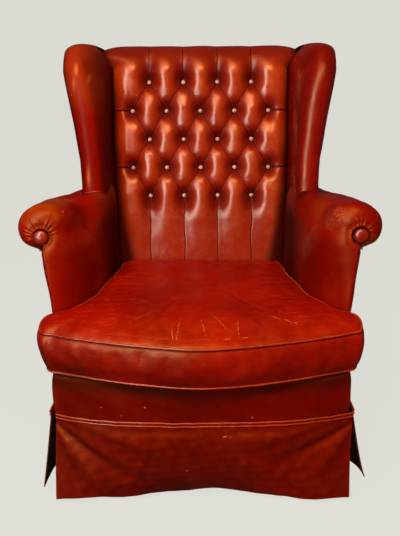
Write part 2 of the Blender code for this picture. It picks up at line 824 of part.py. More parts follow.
def build_arm_buttons():
    for side, word in ((-1, "left"), (1, "right")):
        mesh = mesh_from(
            word + " arm button",
            lambda bm: bmesh.ops.create_uvsphere(
                bm,
                u_segments=14,
                v_segments=8,
                radius=ARM_BUTTON_RADIUS,
                matrix=Matrix.Diagonal((1, 1, ARM_BUTTON_HALF_THICK / ARM_BUTTON_RADIUS, 1)),
            ),
        )
        button = place(word + "_arm_button", mesh, HIDE, smooth=True)
        button.rotation_euler.x = math.pi / 2
        button.location = (side * ARM_BUTTON_X, ARM_BUTTON_BACK - ARM_BUTTON_HALF_THICK, ARM_BUTTON_Z)


def build_outside_arms():
    for side, word in ((-1, "left"), (1, "right")):
        rows = []
        for z in (PANEL_BOTTOM, 0.33, 0.45, 0.577):
            end_y = outside_back_y(z) - SKIN_THICK - GAP
            row = []
            for i in range(7):
                y = blend(ARM_POST_FRONT + 0.0005, end_y, i / 6)
                row.append((side * max(outside_arm_x(y, z), POST_OUTER + SKIN_THICK + 2 * GAP), y, z))
            rows.append(row)
        sheet(word + "_outside_arm", rows[::-1] if side < 0 else rows, SKIN_THICK, HIDE)


clear_scene()
CHAIR = make_collection("club_chair")
CUTTERS = make_collection("cutters")
build_rails()
build_front_legs()
build_back_posts()
build_back_rails()
build_arm_timbers()
WING_FRAMES = build_wing_frames()
build_springs()
build_deck()
build_dust_cover()
build_cushion()
build_front_border()
build_skirts()
build_inside_back()
build_buttons()
build_outside_back()
build_wings(WING_FRAMES, build_arms(WING_FRAMES))
build_arm_buttons()
build_outside_arms()
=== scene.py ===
"""Worn wing-back club chair: the hides, stuffing, welts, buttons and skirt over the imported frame.

Metres, +Z up and -Y the front, in the frame's own place. Each sub-assembly is a class that holds its
sizes and builds and dresses its own pieces. A surface that flows in two directions starts as a grid
primitive whose rows are laid through the piece's sections; the rest is modelled with operators.
"""

import logging
import math
from dataclasses import dataclass
from enum import Enum
from typing import Callable, Iterable, Sequence

import bpy
import numpy as np
from mathutils import Matrix, Vector
from mathutils.bvhtree import BVHTree


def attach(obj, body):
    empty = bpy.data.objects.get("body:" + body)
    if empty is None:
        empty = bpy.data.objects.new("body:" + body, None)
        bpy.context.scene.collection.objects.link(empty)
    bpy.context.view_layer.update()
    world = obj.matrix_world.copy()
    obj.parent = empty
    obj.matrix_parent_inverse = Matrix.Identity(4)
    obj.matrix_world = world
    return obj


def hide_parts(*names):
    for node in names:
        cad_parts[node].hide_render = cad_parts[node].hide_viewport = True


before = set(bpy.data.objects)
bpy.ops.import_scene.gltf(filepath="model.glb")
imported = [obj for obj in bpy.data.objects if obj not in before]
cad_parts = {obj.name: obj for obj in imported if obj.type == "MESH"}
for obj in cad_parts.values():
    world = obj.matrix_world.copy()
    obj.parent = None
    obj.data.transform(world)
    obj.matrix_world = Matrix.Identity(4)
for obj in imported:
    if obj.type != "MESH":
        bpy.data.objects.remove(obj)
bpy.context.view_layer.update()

LOG = logging.getLogger("club_chair")
ROOT = "root"
WELD = 1e-5

# The frame's own lines that several pieces follow.
BACK_RAKE = 0.2368
BACK_START = (0.155, 0.450)
PANEL_BOTTOM = 0.2148
CUSHION_DECK = 0.3250
NOSE_END = -0.073
SEAT_HALF = 0.341

ORIGIN = (0.0, 0.0, 0.0)
FRAME_BUMP = 0.0003

Colour = tuple[float, float, float]
Point = tuple[float, float, float]
Array = np.ndarray
Body = bpy.types.Object
Material = bpy.types.Material
Socket = bpy.types.NodeSocket
Tree = bpy.types.NodeTree


class Side(Enum):
    """The chair's two hands, as the sign of X."""

    LEFT = -1
    RIGHT = 1

    @property
    def word(self) -> str:
        """The side's name in lower case."""
        return self.name.lower()


# ---------------------------------------------------------------- shapes shared with the frame
def blend(low: Array, high: Array, t: Array) -> Array:
    """Straight blend between two values, held at its ends."""
    return low + (high - low) * np.clip(t, 0.0, 1.0)


def eased(t: Array) -> Array:
    """Smooth step of t, held at 0 and 1."""
    t = np.clip(t, 0.0, 1.0)
    return t * t * (3.0 - 2.0 * t)


def bell(distance: Array, width: Array) -> Array:
    """A soft hump of the given half width about distance 0."""
    return np.exp(-((distance / width) ** 2))


def through(knots: Sequence[tuple[float, float]], value: Array) -> Array:
    """Straight-line reading of a short list of (input, output) pairs."""
    table = np.array(knots)
    return np.interp(value, table[:, 0], table[:, 1])


def arc_between(start: Array, end: Array, leave: Array, arrive: Array, t: Array) -> Array:
    """Places from 0 to 1 along the smooth arc between two points, left and reached at given speeds."""
    square, cube = t**2, t**3
    return (
        start * (2 * cube - 3 * square + 1)
        + leave * (cube - 2 * square + t)
        + end * (3 * square - 2 * cube)
        + arrive * (cube - square)
    )


def flowing(knots: Array, t: Array) -> Array:
    """Points on the smooth curve that passes through a list of knots.

    Args:
        knots: the knots, one row each; any further axes are carried along.
        t: places along the curve from 0 to 1, one for each row of the result, or for each of the
            knots' second axis where they have one.

    Returns:
        The points, with t's length as their first axis.
    """
    count = len(knots)
    place = np.clip(t, 0.0, 1.0) * (count - 1)
    low = np.minimum(place.astype(int), count - 2)
    part = place - low
    picks = [np.clip(low + step, 0, count - 1) for step in (-1, 0, 1, 2)]
    if knots.ndim == 3:
        own = np.arange(knots.shape[1])
        before, start, end, after = (knots[pick, own] for pick in picks)
    else:
        before, start, end, after = (knots[pick] for pick in picks)
    return arc_between(start, end, 0.5 * (end - before), 0.5 * (after - start), part[:, None])


def ripple(points: Array, scale: float, seed: int, waves: int = 14) -> Array:
    """A gentle random field over points, about -1 to 1, from a few seeded waves.

    Args:
        points: the points, one row each.
        scale: the size of its bumps.
        seed: which field.
        waves: how many waves are added.

    Returns:
        One value for each point.
    """
    draw = np.random.default_rng(seed)
    total = np.zeros(points.shape[:-1])
    for _ in range(waves):
        direction = draw.normal(size=3)
        direction /= np.linalg.norm(direction)
        length = scale * draw.uniform(0.6, 1.9)
        total += np.sin(points @ direction * (2 * math.pi / length) + draw.uniform(0, 2 * math.pi))
    return total / math.sqrt(waves)


def outside_back_y(z: Array) -> Array:
    """Outer face of the back, which leans backwards."""
    return 0.415 - 0.080 * (1.000 - z) / 0.7855


def outside_arm_x(y: Array, z: Array) -> Array:
    """Outer face of the side: leaning outwards at the front, upright at the back."""
    lean = np.maximum(0.0, z - 0.33)
    return blend(0.341 + 0.10 * lean, 0.285 + 0.02 * lean, (y + 0.215) / 0.545)


def arm_inner_x(y: Array) -> Array:
    """Inner face of the arm at seat height: a blunt nose at the front, closing in to the back."""
    reach = np.clip((NOSE_END - y) / 0.170, 0.0, 1.0)
    nose = 0.330 - 0.077 * (1 - reach**1.5) ** (1 / 1.5)
    return np.where(y >= NOSE_END, 0.253 - 0.149 * (y - NOSE_END), nose)


def bow_y(x: Array) -> Array:
    """Depth of the seat's bow front."""
    return -0.369 + 0.044 * (np.abs(x) / SEAT_HALF) ** 3


# ---------------------------------------------------------------- modelling helpers
def deselect_all() -> None:
    """Leaves nothing selected, so that an operator reaches only what is made next."""
    if bpy.context.mode != "OBJECT":
        bpy.ops.object.mode_set(mode="OBJECT")
    bpy.ops.object.select_all(action="DESELECT")


def activate(obj: Body) -> None:
    """Selects one object and makes it the active one."""
    deselect_all()
    obj.select_set(True)
    bpy.context.view_layer.objects.active = obj


def named(obj: Body, name: str) -> Body:
    """Names an object and its mesh."""
    obj.name = name
    obj.data.name = name
    return obj


def read(items: bpy.types.bpy_prop_collection, key: str, wide: int = 1, kind: type = np.float32) -> Array:
    """One property of every item of a mesh, one row each where it is wider than one number."""
    flat = np.empty(len(items) * wide, kind)
    items.foreach_get(key, flat)
    return flat.reshape(-1, wide) if wide > 1 else flat


def points_of(obj: Body) -> Array:
    """The mesh's points, one row each."""
    return read(obj.data.vertices, "co", 3).astype(float)


def set_points(obj: Body, points: Array) -> None:
    """Moves the mesh's points."""
    obj.data.vertices.foreach_set("co", points.astype(np.float32).ravel())
    obj.data.update()


def normals_of(obj: Body) -> Array:
    """The mesh's point normals, one row each."""
    return read(obj.data.vertex_normals, "vector", 3).astype(float)


def paint(obj: Body, name: str, values: Array) -> None:
    """Stores one number for each point of the mesh, for its material to read."""
    layer = obj.data.attributes.get(name) or obj.data.attributes.new(name, "FLOAT", "POINT")
    layer.data.foreach_set("value", np.asarray(values, np.float32))


def layer_of(obj: Body, name: str) -> Array:
    """The numbers stored under a name, one for each point."""
    return read(obj.data.attributes[name].data, "value")


def deepen(obj: Body, name: str, *values: Array) -> None:
    """Raises a stored layer to the largest of some values."""
    for value in values:
        paint(obj, name, np.maximum(layer_of(obj, name), value))


def evenly_worn(obj: Body, rubbed: float) -> None:
    """Rubs a whole piece alike, with no dark layer."""
    count = len(obj.data.vertices)
    paint(obj, "rubbed", np.full(count, rubbed))
    paint(obj, "grime", np.zeros(count))


def apply_modifier(obj: Body, kind: str, **settings: object) -> None:
    """Adds one modifier with its settings and applies it."""
    activate(obj)
    modifier = obj.modifiers.new(kind.lower(), kind)
    for key, value in settings.items():
        setattr(modifier, key, value)
    bpy.ops.object.modifier_apply(modifier=modifier.name)


def edit_all(obj: Body, *steps: Callable[[], object]) -> None:
    """Runs edit-mode operators with the whole mesh selected."""
    activate(obj)
    bpy.ops.object.mode_set(mode="EDIT")
    for step in steps:
        bpy.ops.mesh.select_all(action="SELECT")
        step()
    bpy.ops.object.mode_set(mode="OBJECT")


def weld(obj: Body, outwards: bool = True) -> None:
    """Merges points that coincide, and turns the faces outwards."""
    edit_all(obj, lambda: bpy.ops.mesh.remove_doubles(threshold=WELD))
    if outwards:
        edit_all(obj, lambda: bpy.ops.mesh.normals_make_consistent(inside=False))


def close_holes(obj: Body) -> None:
    """Caps each open end of a mesh."""
    edit_all(obj, lambda: bpy.ops.mesh.fill_holes(sides=0))


def smooth(obj: Body, degrees: float = 180.0) -> None:
    """Shades a piece smooth, apart from edges sharper than degrees."""
    activate(obj)
    if degrees >= 180.0:
        bpy.ops.object.shade_smooth()
    else:
        bpy.ops.object.shade_smooth_by_angle(angle=math.radians(degrees))


def surface_normals(rows: Array) -> Array:
    """Normals of a grid of points, from its neighbours along and across."""
    along = np.gradient(rows, axis=0)
    across = np.gradient(rows, axis=1)
    normal = np.cross(across, along)
    length = np.linalg.norm(normal, axis=-1, keepdims=True)
    return normal / np.maximum(length, 1e-12)


def laid_grid(name: str, rows: Array) -> Body:
    """A grid primitive whose points are laid over rows of points.

    Args:
        name: the piece's name.
        rows: the points, rows by columns by three.

    Returns:
        The new object, open where its rows are.
    """
    deselect_all()
    high, wide = rows.shape[:2]
    bpy.ops.mesh.primitive_grid_add(x_subdivisions=wide - 1, y_subdivisions=high - 1, size=2.0)
    obj = named(bpy.context.active_object, name)
    set_points(obj, rows.reshape(-1, 3))
    return obj


def closed_loft(name: str, rows: Array) -> Body:
    """A closed body through rows of points, each row a ring whose last point repeats its first."""
    obj = laid_grid(name, rows)
    weld(obj, outwards=False)
    close_holes(obj)
    weld(obj)
    smooth(obj)
    return obj


def solid_sheet(name: str, rows: Array, thick: float, outwards: Array) -> Body:
    """A sheet of hide laid over rows, with its thickness behind the face that looks outwards."""
    obj = laid_grid(name, rows)
    facing = surface_normals(rows)[5, rows.shape[1] // 2] @ outwards
    apply_modifier(obj, "SOLIDIFY", thickness=thick, offset=-1.0 if facing > 0 else 1.0)
    weld(obj)
    return obj


def tube(name: str, path: Array, radius: float, closed: bool = False, sides: int = 3) -> Body:
    """A round welt or cord along a path.

    Args:
        name: the piece's name.
        path: the points of its middle line.
        radius: its radius.
        closed: whether it joins up with itself.
        sides: the curve's bevel resolution.

    Returns:
        The tube as a mesh object with closed ends.
    """
    deselect_all()
    curve = bpy.data.curves.new(name, "CURVE")
    curve.dimensions = "3D"
    curve.bevel_depth = radius
    curve.bevel_resolution = sides
    curve.use_fill_caps = not closed
    spline = curve.splines.new("POLY")
    spline.points.add(len(path) - 1)
    spline.points.foreach_set("co", np.column_stack([path, np.ones(len(path))]).ravel())
    spline.use_cyclic_u = closed
    obj = bpy.data.objects.new(name, curve)
    bpy.context.scene.collection.objects.link(obj)
    activate(obj)
    bpy.ops.object.convert(target="MESH")
    obj = named(bpy.context.active_object, name)
    weld(obj)
    smooth(obj, 60.0)
    return obj


def resampled(path: Array, count: int, closed: bool = False) -> Array:
    """A path's points spread evenly along its length."""
    line = np.vstack([path, path[:1]]) if closed else path
    steps = np.linalg.norm(np.diff(line, axis=0), axis=1)
    along = np.concatenate([[0.0], np.cumsum(steps)])
    wanted = np.linspace(0.0, along[-1], count, endpoint=not closed)
    return np.column_stack([np.interp(wanted, along, line[:, axis]) for axis in range(line.shape[1])])


def relaxed(path: Array, rounds: int, closed: bool = False) -> Array:
    """A path whose points are drawn towards their neighbours; an open one keeps its ends."""
    for _ in range(rounds):
        moved = 0.5 * path + 0.25 * (np.roll(path, 1, axis=0) + np.roll(path, -1, axis=0))
        if not closed:
            moved[[0, -1]] = path[[0, -1]]
        path = moved
    return path


def nearest_on(obj: Body, path: Array, lift: float) -> Array:
    """A path drawn onto a mesh's surface, lifted off it by lift."""
    tree = BVHTree.FromObject(obj, bpy.context.evaluated_depsgraph_get())
    found = []
    for point in path:
        place, normal, _, _ = tree.find_nearest(Vector(point))
        found.append(place + normal * lift)
    return np.array(found)


def joined(name: str, pieces: Sequence[Body]) -> Body:
    """Several mesh objects made one."""
    deselect_all()
    for piece in pieces:
        piece.select_set(True)
    bpy.context.view_layer.objects.active = pieces[0]
    bpy.ops.object.join()
    return named(bpy.context.active_object, name)


def neighbours_of(obj: Body) -> Callable[[Array], Array]:
    """A step that gives each point of a mesh the mean of its neighbours' values."""
    edges = read(obj.data.edges, "vertices", 2, np.int32)
    count = np.maximum(np.bincount(edges.ravel(), minlength=len(obj.data.vertices)), 1)

    def around(values: Array) -> Array:
        """The mean of each point's neighbours."""
        total = np.zeros_like(values)
        np.add.at(total, edges[:, 0], values[edges[:, 1]])
        np.add.at(total, edges[:, 1], values[edges[:, 0]])
        return total / (count[:, None] if values.ndim == 2 else count)

    return around


def hollows(obj: Body, rounds: int = 3) -> Array:
    """How hollow a mesh is at each point: positive in a crease, negative on a crown."""
    around = neighbours_of(obj)
    points, normals = points_of(obj), normals_of(obj)
    reach = points
    for _ in range(rounds):
        reach = around(reach)
    hollow = ((reach - points) * normals).sum(axis=1)
    for _ in range(2):
        hollow = 0.5 * hollow + 0.5 * around(hollow)
    return hollow


def wear_layers(obj: Body, rubbed_at: float, grime_at: float, rounds: int = 3) -> None:
    """Stores where a hide is worn on its crowns and where dirt gathers in its creases, from the shape itself.

    Args:
        obj: the piece.
        rubbed_at: how far a crown stands out where it is fully worn.
        grime_at: how deep a crease is where it is fully dark.
        rounds: how wide the neighbourhood is.
    """
    hollow = hollows(obj, rounds)
    paint(obj, "rubbed", np.clip(-hollow / rubbed_at, 0.0, 1.0))
    paint(obj, "grime", np.clip(hollow / grime_at, 0.0, 1.0))


def finished(
    obj: Body, material: Material, node: str | None = None
) -> Body:
    """Dresses a piece, and lets it ride on the chair in place of a frame node.

    Args:
        obj: the piece.
        material: its material.
        node: the frame node that it stands for, if any.

    Returns:
        The piece.
    """
    obj.data.materials.clear()
    obj.data.materials.append(material)
    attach(obj, ROOT)
    if node is not None:
        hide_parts(node)
    LOG.info("%s: %d faces", obj.name, len(obj.data.polygons))
    return obj


# ---------------------------------------------------------------- finishes
class Nodes:
    """Adds nodes to one tree and links them."""

    def __init__(self, tree: Tree) -> None:
        """Starts on an existing tree."""
        self.tree = tree

    def add(self, kind: str, **settings: object) -> bpy.types.Node:
        """Adds one node and sets its own properties."""
        node = self.tree.nodes.new(kind)
        for key, value in settings.items():
            setattr(node, key, value)
        return node

    def feed(self, socket: Socket, source: object) -> None:
        """Links a socket to another, or sets its plain value."""
        if isinstance(source, Socket):
            self.tree.links.new(source, socket)
        elif isinstance(source, tuple) and socket.type == "RGBA":
            socket.default_value = (*source, 1.0)
        else:
            socket.default_value = source

    def fed(self, node: bpy.types.Node, *sources: object) -> Socket:
        """Feeds a node's inputs in their order, and gives its first output."""
        for socket, source in zip(node.inputs, sources):
            self.feed(socket, source)
        return node.outputs[0]

    def math(self, operation: str, *sources: object, clamp: bool = False) -> Socket:
        """One arithmetic step."""
        return self.fed(self.add("ShaderNodeMath", operation=operation, use_clamp=clamp), *sources)

    def times(self, *sources: object) -> Socket:
        """The product of two numbers."""
        return self.math("MULTIPLY", *sources)

    def most(self, *sources: object) -> Socket:
        """The larger of two numbers."""
        return self.math("MAXIMUM", *sources)

    def less(self, whole: object, part: object, clamp: bool = False) -> Socket:
        """One number less another."""
        return self.math("SUBTRACT", whole, part, clamp=clamp)

    def vector(self, operation: str, *sources: object) -> Socket:
        """One step of vector arithmetic."""
        node = self.add("ShaderNodeVectorMath", operation=operation)
        first = self.fed(node, *sources)
        return node.outputs["Value"] if operation in ("DISTANCE", "DOT_PRODUCT") else first

    def mix(self, factor: object, low: object, high: object) -> Socket:
        """A blend of two colours."""
        node = self.add("ShaderNodeMix", data_type="RGBA")
        for index, source in ((0, factor), (6, low), (7, high)):
            self.feed(node.inputs[index], source)
        return node.outputs[2]

    def span(
        self, value: object, low: float, high: float, to_low: float = 0.0, to_high: float = 1.0
    ) -> Socket:
        """Spreads part of a range softly over another, held at both ends."""
        node = self.add("ShaderNodeMapRange", interpolation_type="SMOOTHSTEP")
        return self.fed(node, value, low, high, to_low, to_high)

    def noise(
        self, vector: object, scale: object, detail: float = 3.0, rough: float = 0.5
    ) -> Socket:
        """Cloudy noise."""
        node = self.add("ShaderNodeTexNoise")
        for key, source in {"Vector": vector, "Scale": scale, "Detail": detail, "Roughness": rough}.items():
            self.feed(node.inputs[key], source)
        return node.outputs[0]

    def warped(
        self, place: object, reach: float, scale: float, detail: float, rough: float = 0.5,
        centred: bool = False,
    ) -> Socket:
        """A place pushed about by cloudy noise.

        Args:
            place: the place.
            reach: how far it is pushed.
            scale: the noise's scale.
            detail: the noise's detail.
            rough: the noise's roughness.
            centred: whether the push is the same both ways.

        Returns:
            The moved place.
        """
        push = self.noise(place, scale, detail, rough).node.outputs["Color"]
        if centred:
            push = self.vector("SUBTRACT", push, (0.5, 0.5, 0.5))
        return self.vector("MULTIPLY_ADD", push, (reach, reach, reach), place)

    def cells(self, vector: object, scale: object, feature: str = "F1") -> bpy.types.Node:
        """Voronoi cells."""
        node = self.add("ShaderNodeTexVoronoi", feature=feature)
        self.feed(node.inputs["Vector"], vector)
        self.feed(node.inputs["Scale"], scale)
        return node

    def group(self, tree: Tree, **sources: object) -> bpy.types.NodeOutputs:
        """Places a shared effect with its own values, and gives its outputs."""
        node = self.add("ShaderNodeGroup", node_tree=tree)
        for key, source in sources.items():
            self.feed(node.inputs[key.title()], source)
        return node.outputs

    def bump(
        self, height: object, distance: float, strength: object = 1.0, over: object = None
    ) -> Socket:
        """The normal of a bumpy surface, over another normal if one is given."""
        node = self.add("ShaderNodeBump")
        for key, source in {"Height": height, "Distance": distance, "Strength": strength}.items():
            self.feed(node.inputs[key], source)
        if over is not None:
            self.feed(node.inputs["Normal"], over)
        return node.outputs[0]

    def layer(self, name: str) -> Socket:
        """A number that is stored at the piece's points."""
        return self.add("ShaderNodeAttribute", attribute_name=name).outputs["Fac"]

    def place(self) -> Socket:
        """Where the shaded point lies in the object's own space."""
        return self.add("ShaderNodeTexCoord").outputs["Object"]


def new_material(name: str) -> tuple[Material, Nodes, bpy.types.NodeInputs]:
    """A new material, with its builder and its shader's inputs."""
    material = bpy.data.materials.new(name)
    material.use_nodes = True
    tree = material.node_tree
    return material, Nodes(tree), tree.nodes["Principled BSDF"].inputs


def effect(
    name: str, inputs: dict[str, object], outputs: Iterable[str]
) -> tuple[Tree, Nodes, bpy.types.NodeOutputs, bpy.types.NodeInputs]:
    """A new shared effect.

    Args:
        name: its name.
        inputs: each input's name and its starting value, a number or a point.
        outputs: the names of its outputs, all numbers.

    Returns:
        The group's tree, its builder, what it is given and what it makes.
    """
    tree = bpy.data.node_groups.new(name, "ShaderNodeTree")
    for key, value in inputs.items():
        kind = "NodeSocketVector" if isinstance(value, tuple) else "NodeSocketFloat"
        socket = tree.interface.new_socket(key, in_out="INPUT", socket_type=kind)
        socket.default_value = value
    for key in outputs:
        tree.interface.new_socket(key, in_out="OUTPUT", socket_type="NodeSocketFloat")
    build = Nodes(tree)
    return tree, build, build.add("NodeGroupInput").outputs, build.add("NodeGroupOutput").inputs


def grain_effect() -> Tree:
    """Leather grain: rounded pebbles of uneven size, with pores between them."""
    tree, build, given, made = effect("hide grain", {"Vector": ORIGIN, "Scale": 500.0}, ("Height",))
    bent = build.warped(given["Vector"], 0.004, 160.0, 2.0)
    pebbles = build.cells(bent, given["Scale"], "SMOOTH_F1")
    rounded = build.less(1.0, pebbles.outputs["Distance"])
    broad = build.noise(given["Vector"], 90.0, 4.0, 0.6)
    build.feed(made["Height"], build.math("MULTIPLY_ADD", broad, 0.8, rounded))
    return tree


def cloud_effect() -> Tree:
    """Slow changes of tone over a hide, with smaller blotches in them."""
    tree, build, given, made = effect("hide clouds", {"Vector": ORIGIN}, ("Tone", "Blotch"))
    slow = build.noise(given["Vector"], 7.0, 3.0, 0.55)
    quick = build.noise(given["Vector"], 38.0, 4.0, 0.6)
    build.feed(made["Tone"], build.span(slow, 0.30, 0.70))
    build.feed(made["Blotch"], build.span(quick, 0.35, 0.68))
    return tree


def crack_effect() -> Tree:
    """A fine net of cracks that comes and goes."""
    inputs = {"Vector": ORIGIN, "Scale": 90.0, "Spread": 0.5}
    tree, build, given, made = effect("fine cracks", inputs, ("Mask",))
    bent = build.warped(given["Vector"], 0.022, 45.0, 3.0, 0.7)
    net = build.cells(bent, given["Scale"], "DISTANCE_TO_EDGE")
    line = build.span(net.outputs["Distance"], 0.0, 0.05, 1.0, 0.0)
    where = build.noise(given["Vector"], 21.0, 3.0, 0.6)
    near = build.less(build.math("ADD", where, given["Spread"]), 0.75)
    build.feed(made["Mask"], build.times(line, build.span(near, 0.0, 0.18)))
    return tree


def crease_effect() -> Tree:
    """Soft creases that wander through a worn hide, drawn out along one axis."""
    inputs = {"Vector": ORIGIN, "Stretch": (1.0, 1.0, 1.0), "Scale": 20.0}
    tree, build, given, made = effect("soft creases", inputs, ("Height",))
    bent = build.warped(build.vector("MULTIPLY", given["Vector"], given["Stretch"]), 0.06, 9.0, 2.0)
    cloud = build.noise(bent, given["Scale"], 2.0)
    away = build.math("ABSOLUTE", build.less(cloud, 0.5))
    build.feed(made["Height"], build.span(away, 0.0, 0.07))
    return tree


def speck_effect() -> Tree:
    """Small scuffed spots, few and far between."""
    inputs = {"Vector": ORIGIN, "Scale": 30.0, "Share": 0.2, "Size": 0.06}
    tree, build, given, made = effect("scuffed spots", inputs, ("Mask",))
    spots = build.cells(build.warped(given["Vector"], 0.003, 300.0, 2.0), given["Scale"])
    size = build.times(given["Size"], build.math("ADD", 0.4, given["Share"]))
    dot = build.less(1.0, build.math("DIVIDE", spots.outputs["Distance"], size), clamp=True)
    parts = build.fed(build.add("ShaderNodeSeparateColor"), spots.outputs["Color"])
    chosen = build.math("LESS_THAN", parts, given["Share"])
    build.feed(made["Mask"], build.times(build.span(dot, 0.0, 0.5), chosen))
    return tree


def scratch_effect() -> Tree:
    """One fine scratch between two points, broken and tapering."""
    inputs = {"Vector": ORIGIN, "Start": ORIGIN, "Stop": (0.0, 0.0, 0.1), "Width": 0.001}
    tree, build, given, made = effect("scratch", inputs, ("Mask",))
    bent = build.warped(given["Vector"], 0.008, 70.0, 3.0, 0.6, centred=True)
    run = build.vector("SUBTRACT", given["Stop"], given["Start"])
    from_start = build.vector("SUBTRACT", bent, given["Start"])
    across = build.vector("DOT_PRODUCT", from_start, run)
    length = build.vector("DOT_PRODUCT", run, run)
    part = build.math("DIVIDE", across, length, clamp=True)
    reached = build.vector("SCALE", run)
    build.feed(reached.node.inputs["Scale"], part)
    away = build.vector("DISTANCE", reached, from_start)
    line = build.less(1.0, build.math("DIVIDE", away, given["Width"]), clamp=True)
    middle = build.math("ABSOLUTE", build.math("MULTIPLY_ADD", part, 2.0, -1.0))
    taper = build.span(middle, 0.75, 1.0, 1.0, 0.15)
    kept = build.span(build.noise(given["Vector"], 240.0, 2.0), 0.35, 0.55, 0.25, 1.0)
    build.feed(made["Mask"], build.times(build.times(line, taper), kept))
    return tree


def patch_effect() -> Tree:
    """A soft round patch about a point."""
    inputs = {"Vector": ORIGIN, "Centre": ORIGIN, "Reach": 0.1}
    tree, build, given, made = effect("soft patch", inputs, ("Mask",))
    away = build.vector("DISTANCE", given["Vector"], given["Centre"])
    share = build.math("DIVIDE", away, given["Reach"])
    build.feed(made["Mask"], build.span(share, 0.35, 1.0, 1.0, 0.0))
    return tree


def seam_effect() -> Tree:
    """The fine dark seams of buttoned leather, from a place's run across its cell both ways, and a band
    beside each seam where a highlight is painted on.
    """
    inputs = {"First": 0.0, "Second": 0.0, "Width": 0.042}
    tree, build, given, made = effect("tufted seams", inputs, ("Mask", "Lip"))
    first, second = (build.math("PINGPONG", given[key], 1.0) for key in ("First", "Second"))
    share = build.math("DIVIDE", build.less(1.0, build.most(first, second)), given["Width"])
    build.feed(made["Mask"], build.span(share, 0.25, 1.0, 1.0, 0.0))
    from_lip = build.math("ABSOLUTE", build.less(share, 2.0))
    build.feed(made["Lip"], build.less(1.0, from_lip, clamp=True))
    return tree


def pucker_effect() -> Tree:
    """Fine wrinkles that run out from a point that draws the hide in."""
    inputs = {"Across": 0.0, "Up": 0.0, "Count": 3.4}
    tree, build, given, made = effect("puckers", inputs, ("Height",))
    across, up = given["Across"], given["Up"]
    square = build.math("ADD", build.times(across, across), build.times(up, up))
    away = build.math("SQRT", build.math("ADD", square, 0.000001))
    turned = build.fed(
        build.add("ShaderNodeCombineXYZ"),
        build.math("DIVIDE", across, away), build.math("DIVIDE", up, away), build.times(away, 9.0),
    )
    ridge = build.math("ABSOLUTE", build.less(build.noise(turned, given["Count"], 2.0), 0.5))
    build.feed(made["Height"], build.span(ridge, 0.0, 0.10))
    return tree


class Effects:
    """The shared effects, built once."""

    def __init__(self) -> None:
        """Builds every group."""
        self.grain = grain_effect()
        self.clouds = cloud_effect()
        self.cracks = crack_effect()
        self.creases = crease_effect()
        self.specks = speck_effect()
        self.scratch = scratch_effect()
        self.patch = patch_effect()
        self.seams = seam_effect()
        self.puckers = pucker_effect()


@dataclass(frozen=True)
class Scratch:
    """One scratch on a hide, from one point to another."""

    start: Point
    stop: Point
    width: float = 0.0012


@dataclass(frozen=True)
class Patch:
    """A soft patch where cracks or rubbing gather."""

    centre: Point
    reach: float


